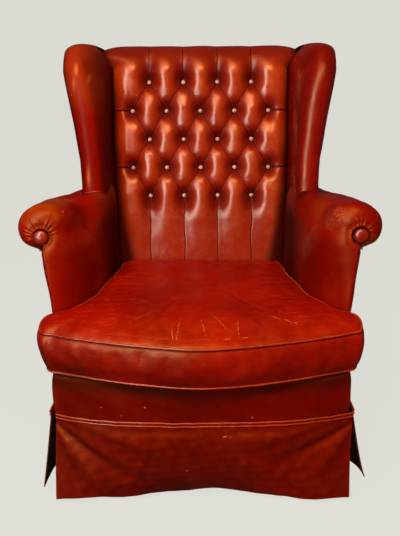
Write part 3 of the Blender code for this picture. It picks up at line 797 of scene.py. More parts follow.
@dataclass(frozen=True)
class Hide:
    """Worn leather: its dye, where it is worn and where it is grimy, with painted highlights and painted
    shade carried in the same two layers, its grain and its marks.
    """

    name: str
    base: Colour = (0.240, 0.0034, 0.0003)
    deep: Colour = (0.165, 0.0014, 0.0002)
    # Lighter colour of worn places, also used where a highlight is painted on.
    rubbed: Colour = (0.42, 0.036, 0.0015)
    pale: Colour = (0.66, 0.22, 0.08)
    # Dark colour of dirt, also used where shade is painted in.
    grime: Colour = (0.020, 0.0008, 0.0004)
    roughness: float = 0.34
    rubbed_share: float = 0.6
    grime_share: float = 0.9
    grain_scale: float = 620.0
    grain_depth: float = 0.00005
    crease_scale: float = 14.0
    crease_stretch: Point = (1.0, 1.0, 1.0)
    crease_depth: float = 0.00015
    crease_tint: float = 0.0
    crease_share: float = 1.0
    blotch: float = 0.6
    crack_spread: float = 0.0
    crack_scale: float = 95.0
    crack_patches: tuple[Patch, ...] = ()
    speck_share: float = 0.05
    speck_scale: float = 34.0
    speck_size: float = 0.16
    mark_share: float = 0.55
    mark_depth: float = 1.5
    patch_spread: float = 0.45
    rough_gain: float = 0.25
    grime_dulls: float = 0.9
    scratches: tuple[Scratch, ...] = ()
    mark_scale: Point = (1.0, 1.0, 1.0)
    dull_share: float = 0.0
    specular: float = 0.5
    specular_tint: Colour = (1.0, 0.46, 0.25)
    tufted: bool = False
    pucker_depth: float = 0.0004
    lip_share: float = 0.25
    seam_share: float = 0.98

    def tufts(self, build: Nodes, effects: Effects) -> tuple[bpy.types.NodeOutputs, Socket]:
        """Adds the seams and the puckers of a tufted hide: what the seams give, and the puckers' normal."""
        seams = build.group(effects.seams, first=build.layer("cell_first"), second=build.layer("cell_second"))
        puckers = build.group(effects.puckers, across=build.layer("button_x"), up=build.layer("button_z"))
        height = build.times(puckers["Height"], build.layer("pucker"))
        return seams, build.bump(height, self.pucker_depth)

    def marks(self, build: Nodes, effects: Effects) -> Socket:
        """Adds the hide's specks, cracks and scratches.

        Args:
            build: the material's builder.
            effects: the shared effects.

        Returns:
            How strongly each place is marked.
        """
        place = build.place()
        specks = build.group(
            effects.specks, vector=place, share=self.speck_share, scale=self.speck_scale, size=self.speck_size
        )
        marks = build.times(specks["Mask"], self.mark_share)
        spread: object = self.crack_spread
        for patch in self.crack_patches:
            spot = build.group(effects.patch, vector=place, centre=patch.centre, reach=patch.reach)
            spread = build.math("MULTIPLY_ADD", spot["Mask"], self.patch_spread, spread)
        cracks = build.group(effects.cracks, vector=place, scale=self.crack_scale, spread=spread)
        marks = build.most(marks, build.times(cracks["Mask"], self.mark_share))
        flattened = build.vector("MULTIPLY", place, self.mark_scale)
        for scratch in self.scratches:
            start, stop = (
                tuple(value * scale for value, scale in zip(point, self.mark_scale))
                for point in (scratch.start, scratch.stop)
            )
            line = build.group(effects.scratch, vector=flattened, start=start, stop=stop, width=scratch.width)
            marks = build.most(marks, line["Mask"])
        return marks

    def material(self, effects: Effects) -> Material:
        """Builds the leather's material.

        Args:
            effects: the shared effects.

        Returns:
            The material, ready for a piece that has the rubbed and grime layers.
        """
        material, build, shader = new_material(self.name)
        place = build.place()
        clouds = build.group(effects.clouds, vector=place)
        grain = build.group(effects.grain, vector=place, scale=self.grain_scale)
        creases = build.group(
            effects.creases, vector=place, stretch=self.crease_stretch, scale=self.crease_scale
        )
        rubbed, grime, dull = (build.layer(name) for name in ("rubbed", "grime", "dull"))
        creased = build.math("MULTIPLY_ADD", dull, 1.0 - self.crease_share, self.crease_share)

        colour = build.mix(clouds["Tone"], self.deep, self.base)
        patchy = build.math("MULTIPLY_ADD", clouds["Blotch"], self.blotch, 1.0 - self.blotch)
        # worn holds wear and painted highlights alike.
        worn = build.math("MULTIPLY", build.times(rubbed, patchy), self.rubbed_share, clamp=True)
        if self.crease_tint:
            tinted = build.times(clouds["Blotch"], self.crease_tint)
            ridge = build.times(build.less(1.0, creases["Height"]), tinted)
            worn = build.most(worn, build.times(ridge, creased))
        colour = build.mix(worn, colour, self.rubbed)
        # dark holds dirt and painted shade alike; the dark seams are added to it below.
        dark = build.math("MULTIPLY", grime, self.grime_share, clamp=True)
        tuft_normal = None
        if self.tufted:
            seams, tuft_normal = self.tufts(build, effects)
            # A lighter band beside each seam is a painted highlight, where a fold's edge would catch the
            # light.
            colour = build.mix(build.times(seams["Lip"], self.lip_share), colour, self.rubbed)
            dark = build.most(dark, build.times(seams["Mask"], self.seam_share))
        colour = build.mix(dark, colour, self.grime)
        marks = self.marks(build, effects)
        build.feed(shader["Base Color"], build.mix(marks, colour, self.pale))

        rough = build.math("MULTIPLY_ADD", clouds["Blotch"], 0.10, self.roughness - 0.05)
        for rougher in (marks, dark):
            rough = build.math("MULTIPLY_ADD", rougher, self.rough_gain, rough)
        build.feed(shader["Roughness"], rough)

        low = build.bump(creases["Height"], self.crease_depth, creased, tuft_normal)
        height = build.math("MULTIPLY_ADD", marks, -self.mark_depth, grain["Height"])
        build.feed(shader["Normal"], build.bump(height, self.grain_depth, over=low))

        gloss = build.math("MULTIPLY_ADD", dark, -self.grime_dulls * self.specular, self.specular)
        if self.dull_share:
            gloss = build.times(gloss, build.math("MULTIPLY_ADD", dull, -self.dull_share, 1.0))
        build.feed(shader["Specular IOR Level"], gloss)
        build.feed(shader["Specular Tint"], self.specular_tint)
        return material


# ---------------------------------------------------------------- the stuffed back
@dataclass
class InsideBack:
    """The deep-buttoned back: one hide drawn in to 22 buttons over stuffing and rolled over the top."""

    half_width: float = 0.2465
    top_half_width: float = 0.2920
    column: float = 0.0475
    row: float = 0.0765
    top_row: float = 0.930
    last_row: float = 0.624
    last_column: float = 0.190
    rake: float = BACK_RAKE
    crown: float = 0.035
    seam_height: float = 0.0235
    flat_swell: float = 0.0088
    crease: float = 0.0040
    crease_width: float = 0.0014
    pit_floor: float = 0.0046
    pit_reach: float = 0.043
    pit_power: float = 2.9
    top_bend: float = 0.966
    roll_start: float = 0.9505
    roll_radius: float = 0.055
    foot: float = 0.335
    side_round: float = 0.046
    across: int = 26
    down: int = 32

    def outwards(self) -> Array:
        """The direction that the button plane faces."""
        away = np.array([0.0, -1.0, self.rake])
        return away / np.linalg.norm(away)

    def plane(self, z: Array) -> Array:
        """Depth of the plane that the buttons are drawn down to, at a height."""
        return BACK_START[0] + self.rake * (z - BACK_START[1])

    def button_points(self) -> list[Array]:
        """Where the buttons sit in their plane, from the top row down and from left to right."""
        points = []
        for line in range(5):
            count = 4 if line % 2 == 0 else 5
            z = self.top_row - line * self.row
            for place in range(count):
                x = (place - (count - 1) / 2) * 2 * self.column
                points.append(np.array([x, self.plane(z), z]))
        return points

    def profile(self) -> tuple[Array, Array, Array]:
        """The back in section before it is tufted.

        Returns:
            The (y, z) points from the foot over the top to the foot again, their outward normals,
            and how much of the tufts' height each carries.
        """
        step = self.row / self.down
        front_z = np.arange(self.foot, self.roll_start, step)
        front = np.column_stack([self.plane(front_z), front_z])
        lean = math.atan(self.rake)
        start = np.array([self.plane(self.roll_start), self.roll_start])
        back = np.array([math.cos(lean), -math.sin(lean)])
        up = np.array([math.sin(lean), math.cos(lean)])
        centre = start + back * self.roll_radius
        turn = np.linspace(0.0, math.pi / 2 - lean, 22)
        arc = centre + self.roll_radius * (np.outer(np.sin(turn), up) - np.outer(np.cos(turn), back))
        flat_y = np.linspace(arc[-1, 0] + 0.006, 0.392, 16)
        flat = np.column_stack([flat_y, arc[-1, 1] - 0.05 * (flat_y - arc[-1, 0])])
        points = np.vstack([front, arc, flat])
        along = np.gradient(points, axis=0)
        normals = np.column_stack([-along[:, 1], along[:, 0]])
        normals /= np.linalg.norm(normals, axis=1, keepdims=True)
        share = through(((0.440, 0.26), (0.456, 0.31), (0.50, 0.50), (0.56, 0.78), (0.63, 1.0)), points[:, 1])
        share[-len(flat):] *= 1.0 - 0.55 * np.linspace(0, 1, len(flat))
        return points, normals, share

    def cell_run(self, x: Array, z: Array) -> tuple[Array, Array]:
        """How many cells each place lies along the two seam directions."""
        across = np.clip(x, -self.last_column, self.last_column) / self.column
        rise = (np.clip(z, self.last_row, self.top_row) - self.top_row) / self.row
        return across + rise, across - rise

    def cell_place(self, x: Array, z: Array) -> tuple[Array, Array]:
        """Where each place lies in its cell: the two seam directions, each from -1 to 1 with 0 between."""
        first, second = self.cell_run(x, z)
        return (first + 1.0) % 2.0 - 1.0, (second + 1.0) % 2.0 - 1.0

    def past_rows(self, z: Array) -> Array:
        """How far a height is below the last row of buttons or above the first."""
        return np.maximum(self.last_row - z, 0.0) + np.maximum(z - self.top_row, 0.0)

    def seam_depth(self, x: Array, z: Array) -> Array:
        """How much of a seam's fold is felt at each place: 1 in a seam by a button, 0 away from it."""
        p, q = self.cell_place(x, z)
        inside = (z < self.top_row) & (z > self.last_row)
        slanting = self.column * self.row / math.hypot(self.column, self.row)
        reach = np.where(inside, slanting, self.column)
        reach = np.where(np.abs(x) >= self.last_column, self.row, reach)
        away = np.minimum(1 - np.abs(p), 1 - np.abs(q)) * reach
        near = self.nearest_button(x, z)[0]
        deep = 0.50 + 0.50 * bell(near - 0.008, 0.024)
        deep = deep * blend(1.0, 0.55, (z - self.top_row) / 0.05)
        return deep * np.exp(-away / self.crease_width)

    def wandering(self, x: Array, z: Array) -> tuple[Array, Array]:
        """The places moved a little between the buttons, as hand-laid tufts are uneven."""
        near = self.nearest_button(x, z)[0]
        free = 0.0017 * ripple(np.stack([x, z, 0 * x], -1), 0.07, 7) * eased((near - 0.010) / 0.03)
        return x + free, z - 0.4 * free

    def tuft(self, x: Array, z: Array) -> Array:
        """Height of the tufted hide over the button plane."""
        near = self.nearest_button(x, z)[0]
        x, z = self.wandering(x, z)
        p, q = self.cell_place(x, z)
        swell = np.clip((1 - p**2) * (1 - q**2), 0.0, 1.0)
        stretched = self.past_rows(z)
        beyond = stretched + np.maximum(np.abs(x) - self.last_column, 0.0)
        flat = self.flat_swell * (1.0 - 0.88 * eased((z - self.top_bend) / 0.040))
        flat = flat * blend(0.55, 1.0, (z - 0.47) / 0.12)
        full = blend(self.crown - self.seam_height, flat, eased(beyond / 0.050))
        height = self.crown - full * (1 - swell**0.92) - self.crease * self.seam_depth(x, z)
        drawn = np.sqrt(np.maximum(near**2 - 0.86 * np.minimum(stretched, near) ** 2, 0.0))
        pit = np.clip((drawn - self.pit_floor) / self.pit_reach, 0.0, 1.0)
        fading = eased((stretched - 0.012) / 0.095)
        pit = pit + (1.0 - pit) * fading
        return height * (1.0 - (1.0 - pit) ** self.pit_power)

    def nearest_button(self, x: Array, z: Array) -> tuple[Array, Array]:
        """How far each place is from the nearest button, and in which direction."""
        best = np.full(x.shape, 1e3)
        angle = np.zeros(x.shape)
        for point in self.button_points():
            dx, dz = x - point[0], z - point[2]
            away = np.hypot(dx, dz)
            closer = away < best
            best = np.where(closer, away, best)
            angle = np.where(closer, np.arctan2(dz, dx), angle)
        return best, angle

    def puckered(self, x: Array, z: Array) -> Array:
        """How strongly the hide is puckered at each place: most by the outer and the lowest buttons."""
        share = np.zeros(x.shape)
        for point in self.button_points():
            outer = float(eased((abs(point[0]) - 0.10) / 0.04))
            lowest = float(point[2] < self.last_row + 0.01)
            away = np.hypot(x - point[0], z - point[2])
            reach = 0.009 + 0.005 * outer + 0.006 * outer * lowest
            share = np.maximum(share, (0.35 + 0.65 * outer) * bell(np.maximum(away - 0.010, 0.0), reach))
        return share

    def layers(self, x: Array, z: Array, height: Array) -> dict[str, Array]:
        """The back's own layers: where each place lies in its cell, painted shade round the buttons, down the
        rounded sides and over the top roll, and lighter crowns that are partly worn and partly a painted
        highlight.
        """
        near, angle = self.nearest_button(x, z)
        cell_first, cell_second = self.cell_run(*self.wandering(x, z))
        crown = np.clip((height - 0.55 * self.crown) / (0.45 * self.crown), 0.0, 1.0)
        long = np.sqrt(np.maximum(near**2 - 0.78 * np.minimum(self.past_rows(z), near) ** 2, 0.0))
        # Painted shade in and below the pits round the buttons.
        pits = np.maximum(bell(near, 0.0160), 0.80 * bell(long, 0.0240))
        lit = ((0.45, 0.186), (0.55, 0.206), (0.67, 0.222), (0.84, 0.235), (0.93, 0.238), (1.0, 0.25))
        # Painted shade down the rounded sides, where the pad turns into the dark gap by the wings; lit gives
        # where it begins at each height.
        sides = 0.97 * eased((np.abs(x) - through(lit, z) + 0.015) / 0.034)
        # Painted shade over the top roll, which the lamps barely reach.
        top = eased((z - 0.955) / 0.030)
        return {
            "cell_first": cell_first,
            "cell_second": cell_second,
            "button_x": near * np.cos(angle),
            "button_z": near * np.sin(angle),
            "pucker": self.puckered(x, z),
            "grime": np.maximum(np.maximum(pits, sides), 0.42 * top),
            # Lighter crowns, partly wear and partly a painted highlight; less over the top roll and low down.
            "rubbed": crown**1.5 * (1.0 - 0.75 * top) * blend(0.45, 1.0, (z - 0.50) / 0.12),
        }

    def rows(self) -> tuple[Array, dict[str, Array]]:
        """The hide's points, up the front, over the top and down the hidden back, and its layers."""
        profile, normals, share = self.profile()
        columns = round(2 * self.half_width / (self.column / self.across))
        grid_x = np.linspace(-self.half_width, self.half_width, columns + 1)
        z = profile[:, 1][:, None] + 0 * grid_x[None]
        spread = eased((profile[:, 1] - self.top_bend) / 0.018)
        spread = (spread * (1 - 0.5 * eased((profile[:, 0] - 0.315) / 0.06)))[:, None]
        widest = self.half_width + (self.top_half_width - self.half_width) * spread
        beyond = (np.abs(grid_x) - self.last_column) / (self.half_width - self.last_column)
        beyond = np.clip(beyond, 0, 1)[None]
        outer = np.sign(grid_x) * (self.last_column + beyond * (widest - self.last_column))
        x = np.where(beyond > 0, outer, grid_x[None])
        along = np.concatenate([[0.0], np.cumsum(np.linalg.norm(np.diff(profile, axis=0), axis=1))])
        drop = along - np.interp(self.top_row, profile[:, 1], along)
        unrolled = np.where(drop > 0, self.top_row + drop, profile[:, 1])[:, None] + 0 * x
        height = self.tuft(x, unrolled)
        layers = self.layers(x, unrolled, height)
        height += 0.0006 * ripple(np.stack([x, z, unrolled], -1), 0.07, 3)
        height *= share[:, None]
        softer = eased((z - 0.92) / 0.07) * (0.35 + 0.65 * spread)
        wide = blend(self.side_round, 0.082, softer)
        side = np.clip((np.abs(x) - (widest - wide)) / wide, 0, 1)
        height -= blend(self.side_round, 0.030, spread) * (1 - np.sqrt(np.clip(1 - side**2, 0, 1)))
        made = np.stack([x, *(profile[:, i, None] + height * normals[:, i, None] for i in (0, 1))], -1)
        hidden = ((0.4085, 1.000), (0.4092, 0.9858), (0.362, 0.9858), (0.298, self.foot), (0.175, self.foot))
        back = [np.stack([x[-1], 0 * x[-1] + y, 0 * x[-1] + z], -1) for y, z in hidden]
        for line in back[1:]:
            line[:, 0] = grid_x
        for name, values in layers.items():
            unseen = np.zeros((len(hidden) + 1, x.shape[1]))
            layers[name] = np.concatenate([values, unseen], axis=0)
        return np.concatenate([made, np.array(back), made[:1]], axis=0), layers

    def split_along_seams(self, obj: Body) -> None:
        """Splits each face along the tufts' diagonal that it lies by, so that a seam is one clean line."""
        activate(obj)
        centres = read(obj.data.polygons, "center", 3, np.float64)
        across = centres[:, 0] / self.column
        rise = (centres[:, 2] - self.top_row) / self.row
        p = (across + rise + 1.0) % 2.0 - 1.0
        q = (across - rise + 1.0) % 2.0 - 1.0
        picked = np.abs(p) > np.abs(q)
        for method in ("FIXED", "FIXED_ALTERNATE"):
            bpy.ops.object.mode_set(mode="EDIT")
            bpy.ops.mesh.select_all(action="DESELECT")
            bpy.ops.object.mode_set(mode="OBJECT")
            quads = read(obj.data.polygons, "loop_total", kind=np.int32) == 4
            obj.data.polygons.foreach_set("select", quads & picked if method == "FIXED" else quads)
            bpy.ops.object.mode_set(mode="EDIT")
            bpy.ops.mesh.quads_convert_to_tris(quad_method=method, ngon_method="BEAUTY")
            bpy.ops.object.mode_set(mode="OBJECT")

    def build(self, hide: Material) -> Body:
        """Makes the tufted back."""
        rows, layers = self.rows()
        obj = laid_grid("tufted_back", rows)
        for name, values in layers.items():
            paint(obj, name, values.ravel())
        self.split_along_seams(obj)
        weld(obj, outwards=False)
        close_holes(obj)
        weld(obj)
        smooth(obj)
        finished(obj, hide, "inside_back")
        return obj


@dataclass
class BackButtons:
    """The covered buttons of the back, each held down in its pit."""

    radius: float = 0.0060
    dome: float = 0.0038
    lift: float = 0.0038

    def model(self) -> Body:
        """One button: a domed cap turned over a shell, with the cloth gathered under its rim."""
        deselect_all()
        bpy.ops.mesh.primitive_uv_sphere_add(segments=28, ring_count=14, radius=1.0)
        obj = named(bpy.context.active_object, "button_pattern")
        points = points_of(obj)
        radial = np.hypot(points[:, 0], points[:, 1])
        turn = np.arctan2(points[:, 1], points[:, 0])
        gather = 1.0 - 0.05 * (1 + np.cos(9 * turn)) * np.clip(-points[:, 2] + 0.2, 0, 1)
        top = np.where(points[:, 2] > 0, self.dome, self.lift * 0.9)
        swell = np.where(points[:, 2] > 0, np.clip(points[:, 2], 0, 1) ** 0.85, points[:, 2])
        fuller = np.where(radial > 0, np.clip(radial, 1e-6, 1) ** 0.9 / np.maximum(radial, 1e-6), 1)
        made = np.column_stack([points[:, 0] * gather, points[:, 1] * gather, swell * top / self.radius])
        made[:, :2] *= fuller[:, None]
        set_points(obj, made * self.radius)
        smooth(obj)
        return obj

    def build(self, back: InsideBack, hide: Material) -> None:
        """Places a button at each point of the back's pattern."""
        pattern = self.model()
        outwards = Vector(back.outwards())
        stand = outwards.to_track_quat("Z", "Y").to_matrix().to_4x4()
        for number, point in enumerate(back.button_points(), 1):
            obj = pattern.copy()
            obj.data = pattern.data.copy()
            bpy.context.scene.collection.objects.link(obj)
            named(obj, f"covered_button_{number}")
            tilt = Matrix.Rotation(0.10 * math.sin(5.0 * number), 4, "X")
            turn = Matrix.Rotation(0.7 * number, 4, "Z")
            place = Matrix.Translation(Vector(point) + outwards * self.lift)
            obj.data.transform(place @ stand @ (tilt @ turn))
            rise = (points_of(obj) - point) @ back.outwards()
            paint(obj, "rubbed", np.clip(rise / 0.006, 0, 1))
            paint(obj, "grime", np.clip(1.0 - rise / 0.004, 0, 1))
            finished(obj, hide, f"back_button_{number}")
        bpy.data.objects.remove(pattern, do_unlink=True)


# ---------------------------------------------------------------- wings
@dataclass
class Wing:
    """One wing: a stuffed board whose edge is a fat roll, up the front and over the top."""

    side: Side
    radius: float = 0.0300
    thin_radius: float = 0.017
    back_outer: float = 0.286
    back_inner: float = 0.2480
    foot: float = 0.640
    post_depth: float = 0.0395
    panel_thick: float = 0.0046
    widest_at: float = 0.90
    widening: float = 0.0060
    rings: int = 130
    turned: float = math.radians(142)
    turned_on_top: float = math.radians(122)

    def outline(self, s: Array) -> Array:
        """The wing's edge in side view, (y, z), from the front of its foot round to the back."""
        knots = np.array([
            (0.003, self.foot), (0.010, 0.695), (0.018, 0.750), (0.026, 0.800), (0.034, 0.850),
            (0.045, 0.905), (0.057, 0.950), (0.075, 0.990), (0.106, 1.021), (0.150, 1.033),
            (0.212, 1.0335), (0.275, 1.027), (0.340, 1.015), (0.402, 1.001),
        ])
        return flowing(knots, s)

    def anchor(self, s: Array) -> Array:
        """Where each line across the wing starts, (y, z), up the back post."""
        z = blend(self.foot, 0.975, eased(s) * 0.5 + s * 0.5)
        return np.column_stack([outside_back_y(z) - self.panel_thick, z])

    def outer_x(self, s: Array) -> Array:
        """Half width of the wing's outer face at its edge."""
        edge = self.outline(s)
        wide = (
            (0.64, 0.3045), (0.70, 0.3050), (0.757, 0.3075), (0.816, 0.3175), (0.875, 0.3275),
            (0.932, 0.3385), (0.98, 0.3465), (1.035, 0.3480),
        )
        front = through(wide, edge[:, 1]) + (0.002 if self.side is Side.LEFT else 0.0)
        return blend(front, self.back_outer + 0.001, eased((s - 0.63) / 0.37))

    def section(self, start: Array, edge: Array, outer: float, radius: float) -> Array:
        """One closed section across the wing, from the post out to its edge and back.

        Args:
            start: where it leaves the post, (y, z).
            edge: the point of the wing's edge, (y, z).
            outer: half width of its outer face at the edge.
            radius: its roll's radius.

        Returns:
            The points, x, y and z.
        """
        run = edge - start
        length = float(np.linalg.norm(run))
        run = run / length
        radius = min(radius, 0.40 * length)
        middle, reach = outer - radius, length - radius
        part = np.linspace(0.0, 1.0, 26)
        bulge = 0.0035 * np.sin(math.pi * part) ** 0.8
        outside = np.column_stack([part * reach, blend(self.back_outer, outer, part**1.1) + bulge])
        on_top = float(eased((edge[1] - 0.985) / 0.035))
        last = blend(self.turned, self.turned_on_top, on_top)
        turn = np.linspace(0.0, last, 34)[1:]
        rim = np.column_stack([reach + radius * np.sin(turn), middle + radius * np.cos(turn)])
        slope = BACK_RAKE * run[1] - run[0]
        pad = BACK_START[0] + BACK_RAKE * (start[1] - BACK_START[1]) - 0.010
        at_front = (start[0] - pad) / max(slope, 1e-3)
        at_top = (1.012 - start[1]) / max(run[1], 1e-3)
        meet = min(at_front, at_top, reach - 0.6 * radius)
        meet_z = start[1] + run[1] * meet
        inner = self.back_inner + 0.0345 * float(eased((meet_z - 0.978) / 0.028))
        inner -= 0.0050 * (1.0 - float(eased((meet_z - 0.68) / 0.10)))
        inner = min(inner, middle - 0.3 * radius)
        stop = np.array([meet, inner])
        gap = float(np.linalg.norm(rim[-1] - stop))
        leave = np.array([math.cos(last), -math.sin(last)]) * gap * (1.15 - 0.15 * on_top)
        arrive = np.array([-0.9, -0.12]) * gap * 0.9
        t = np.linspace(0.0, 1.0, 34)[1:, None]
        inside = arc_between(rim[-1], stop, leave, arrive, t)
        over = inside[:, 1] - inner
        inside[:, 1] = inner + 0.5 * (over + np.sqrt(over**2 + 0.005**2 * (1.0 - t[:, 0])))
        back = np.column_stack([np.linspace(meet, self.post_depth, 8)[1:], np.full(7, inner)])
        line = np.vstack([outside, rim, inside, back])
        return np.column_stack([line[:, 1], start[0] + run[0] * line[:, 0], start[1] + run[1] * line[:, 0]])

    def seam(self, arm: Body, welt_hide: Material) -> None:
        """The piped seam where the wing's foot meets the arm."""
        s = np.linspace(0.0, 0.2, 80)
        level = int(np.argmin(np.abs(self.outline(s)[:, 1] - 0.682)))
        edge, start = self.outline(s)[level], self.anchor(s)[level]
        ring = self.section(start, edge, float(self.outer_x(s)[level]), self.radius)
        near = ring[ring[:, 1] < 0.125]
        path = resampled(near * (self.side.value, 1.0, 1.0), 90)
        outwards = path[:, :2] - (self.side.value * 0.272, 0.060)
        path[:, :2] += 0.0026 * outwards / np.linalg.norm(outwards, axis=1, keepdims=True)
        path[:, 2] = 0.678
        path = relaxed(nearest_on(arm, path, 0.0016), 6)
        obj = tube(f"{self.side.word}_wing_seam", path, 0.0017)
        evenly_worn(obj, 1.0)
        finished(obj, welt_hide, f"{self.side.word}_wing")

    def rows(self) -> Array:
        """The wing's rings, from its foot to the back of its top."""
        s = np.linspace(0.0, 1.0, self.rings)
        edge = self.outline(s)
        radius = self.radius + self.widening * bell(edge[:, 1] - self.widest_at, 0.10)
        radius = blend(radius, self.thin_radius, eased((s - 0.62) / 0.38))
        places = zip(self.anchor(s), edge, self.outer_x(s), radius)
        rings = np.array([self.section(start, edge, outer, size) for start, edge, outer, size in places])
        return np.concatenate([rings, rings[:, :1]], axis=1)

    def polish(self, obj: Body) -> None:
        """Paints light and shade on the left wing: glints at its upper front edge and by the arm, a faint
        highlight over its top, and shade where its faces turn sideways.
        """
        if self.side is Side.RIGHT:
            return
        points = points_of(obj)
        # Painted glints: each one's place (x, z), half width, half height and strength.
        spots = (
            (0.3100, 0.974, 0.0050, 0.0140, 1.00), (0.2805, 0.951, 0.0045, 0.0130, 0.60),
            (0.3165, 0.938, 0.0040, 0.0180, 0.70), (0.2860, 0.712, 0.0040, 0.0210, 0.95),
        )
        rubbed = np.zeros(len(points))
        for x, z, wide, high, share in spots:
            away = np.hypot((np.abs(points[:, 0]) - x) / wide, (points[:, 2] - z) / high)
            rubbed = np.maximum(rubbed, share * bell(away, 1.0) * (points[:, 1] < 0.12))
        # The glints, with a faint painted highlight over the top.
        paint(obj, "rubbed", np.maximum(rubbed, 0.12 * eased((points[:, 2] - 0.84) / 0.10)))
        # Painted shade where the surface faces sideways.
        deepen(obj, "grime", 0.45 * eased((np.abs(normals_of(obj)[:, 0]) - 0.45) / 0.50))

    def build(self, hide: Material) -> Body:
        """Makes the wing."""
        rows = self.rows()
        hand = self.side.value
        lift = 0.0009 * ripple(rows, 0.12, 11 + hand) + 0.0001 * ripple(rows, 0.03, 21 + hand)
        rows = rows - surface_normals(rows) * lift[..., None]
        rows[:, -1] = rows[:, 0]
        rows[..., 0] *= hand
        obj = closed_loft(f"{self.side.word}_stuffed_wing", rows)
        wear_layers(obj, 0.0010, 0.0010, 4)
        self.polish(obj)
        finished(obj, hide, f"{self.side.word}_wing")
        return obj


# ---------------------------------------------------------------- arms
@dataclass
class Arm:
    """One arm: a stuffed inner face, a roll on top, a bullnose in front and a pleated scroll."""

    side: Side
    foot: float = CUSHION_DECK
    board: float = 0.5785
    panel_front: float = -0.2055
    front: float = -0.2420
    button_x: float = 0.359
    button_z: float = 0.622
    scroll_front: float = -0.2345
    pleat_count: int = 17
    back: float = 0.372
    wing_line: float = 0.20
    cap_rows: int = 56
    length_rows: int = 58

    def roll(self, y: Array) -> tuple[Array, Array, Array, Array]:
        """The roll in section at a depth: its centre and its half width and height."""
        crest = (
            (-0.2, 0.690), (-0.1, 0.6785), (0.0, 0.6655), (0.1, 0.653), (0.2, 0.648), (0.27, 0.646),
        )
        edge = (
            (-0.2, 0.416), (-0.14, 0.420), (-0.05, 0.4165), (0.05, 0.401), (0.15, 0.372), (0.27, 0.335),
            (0.37, 0.306),
        )
        top = through(crest, y)
        wide = through(((-0.14, 0.0645), (0.05, 0.058), (0.27, 0.042)), y)
        outer = through(edge, y) + (0.002 if self.side is Side.LEFT else -0.001)
        high = (top - self.board) / 2
        return outer - wide, (top + self.board) / 2, wide, high

    def section(self, y: Array) -> Array:
        """The arm's section knots at each depth, (knot, place, x and z), from outer foot to inner foot."""
        y = np.asarray(y, float)
        centre_x, centre_z, wide, high = self.roll(y)
        level = np.ones_like(y)
        tuck = 0.007 * eased((y - self.panel_front) / 0.006)
        side = [(outside_arm_x(y, z) - tuck, z * level) for z in (self.foot, 0.41, 0.50, 0.555)]
        notch_x = outside_arm_x(y, 0.575 * level) - tuck
        knots = side + [(notch_x, 0.5765 * level)]
        under = np.minimum(centre_x + 0.53 * wide, notch_x + 0.011)
        behind = eased((y + 0.17) / 0.03)
        knots.append((under + 0.003 * behind, self.board + 0.004 - 0.0055 * behind))
        for degrees in (-38, -8, 22, 52, 82, 112):
            turn = math.radians(degrees)
            knots.append((centre_x + wide * math.cos(turn), centre_z + high * math.sin(turn)))
        inner = np.where(y <= 0.128, arm_inner_x(y), 0.223 + 0.0245 * eased((y - 0.128) / 0.02))
        open_up = 0.010 * eased((y - 0.020) / 0.10) * (1 - eased((y - 0.128) / 0.02))
        full = eased((y + 0.12) / 0.14)
        knots += [
            (
                blend(centre_x - 0.90 * wide, inner + 0.022 + 0.4 * open_up, full),
                blend(centre_z + 0.47 * high, 0.6740 + 0 * y, full),
            ),
            (inner + blend(0.014, 0.001, full) + 0.8 * open_up, blend(0.606, 0.630, full)),
            (inner + blend(0.004, 0.001, full) + 0.8 * open_up, 0.550 * level),
            (inner + 0.0015 + 0.6 * open_up, 0.480 * level),
            (inner, 0.405 * level),
            (inner, self.foot * level),
        ]
        return np.stack([np.stack(knot, -1) for knot in knots])

    def skeleton(self) -> tuple[Array, Array]:
        """What each section knot shrinks to at the front, and how.

        Returns:
            The point (x, z) each knot shrinks to; and how far forward that is, where its cap starts
            and the power of its curve.
        """
        def spine(z: float) -> tuple[float, float]:
            """The middle of the arm's front board at a height."""
            return (0.330 + 0.08 * (z - 0.33), z)

        scroll = (self.button_x, self.button_z)
        outer = [spine(self.foot), spine(0.41), spine(0.50), spine(0.553), (0.3505, 0.572)]
        inner = [(0.3500, 0.606), (0.3480, 0.568), spine(0.50), spine(0.41), spine(self.foot)]
        points = outer + [scroll] * 8 + inner
        rows = (
            [(self.front, self.panel_front, 2.0)] * 4
            + [(self.front + 0.001, self.panel_front, 2.0), (self.scroll_front, -0.199, 2.0)]
            + [(self.scroll_front, -0.197, 2.1)] * 5
            + [(self.scroll_front, -0.190, 2.0), (self.scroll_front, -0.165, 2.1)]
            + [(self.scroll_front - 0.003, -0.115, 2.3), (self.front + 0.002, -0.085, 1.8)]
            + [(self.front, NOSE_END, 1.5)] * 3
        )
        return np.array(points), np.array(rows)

    def knot_places(self) -> Array:
        """How the columns are shared out: most of them go to the roll and its pleats."""
        marks = np.array([0.0, 4.0, 5.0, 12.0, 13.0, 17.0]) / 17.0
        columns = np.array([0.0, 0.13, 0.16, 0.72, 0.80, 1.0])
        return np.interp(np.linspace(0, 1, 236), columns, marks)

    def rows(self) -> Array:
        """The arm's rings from the front of its scroll to its back end."""
        t = self.knot_places()
        shrink, caps = self.skeleton()
        spine = flowing(shrink, t)
        tip, start, power = flowing(caps, t).T
        at_start = flowing(self.section(start), t)
        rings = []
        for turn in np.linspace(0.0, math.pi / 2, self.cap_rows):
            part = math.sin(turn) ** (2 / power)
            depth = start - (start - tip) * math.cos(turn) ** (2 / power)
            xz = spine + (at_start - spine) * part[:, None]
            rings.append(np.column_stack([xz[:, 0], depth, xz[:, 1]]))
        for part in np.linspace(0.0, 1.0, self.length_rows)[1:] ** 1.12:
            depth = start + (self.back - start) * part
            xz = flowing(self.section(depth), t)
            rings.append(np.column_stack([xz[:, 0], depth, xz[:, 1]]))
        rows = np.array(rings)
        reach = np.minimum(outside_back_y(rows[..., 2]) - 0.0055, self.back) - self.wing_line
        share = np.clip((rows[..., 1] - self.wing_line) / (self.back - self.wing_line), 0.0, 1.0)
        rows[..., 1] = np.where(share > 0.0, self.wing_line + share * reach, rows[..., 1])
        return self.gathered(rows)

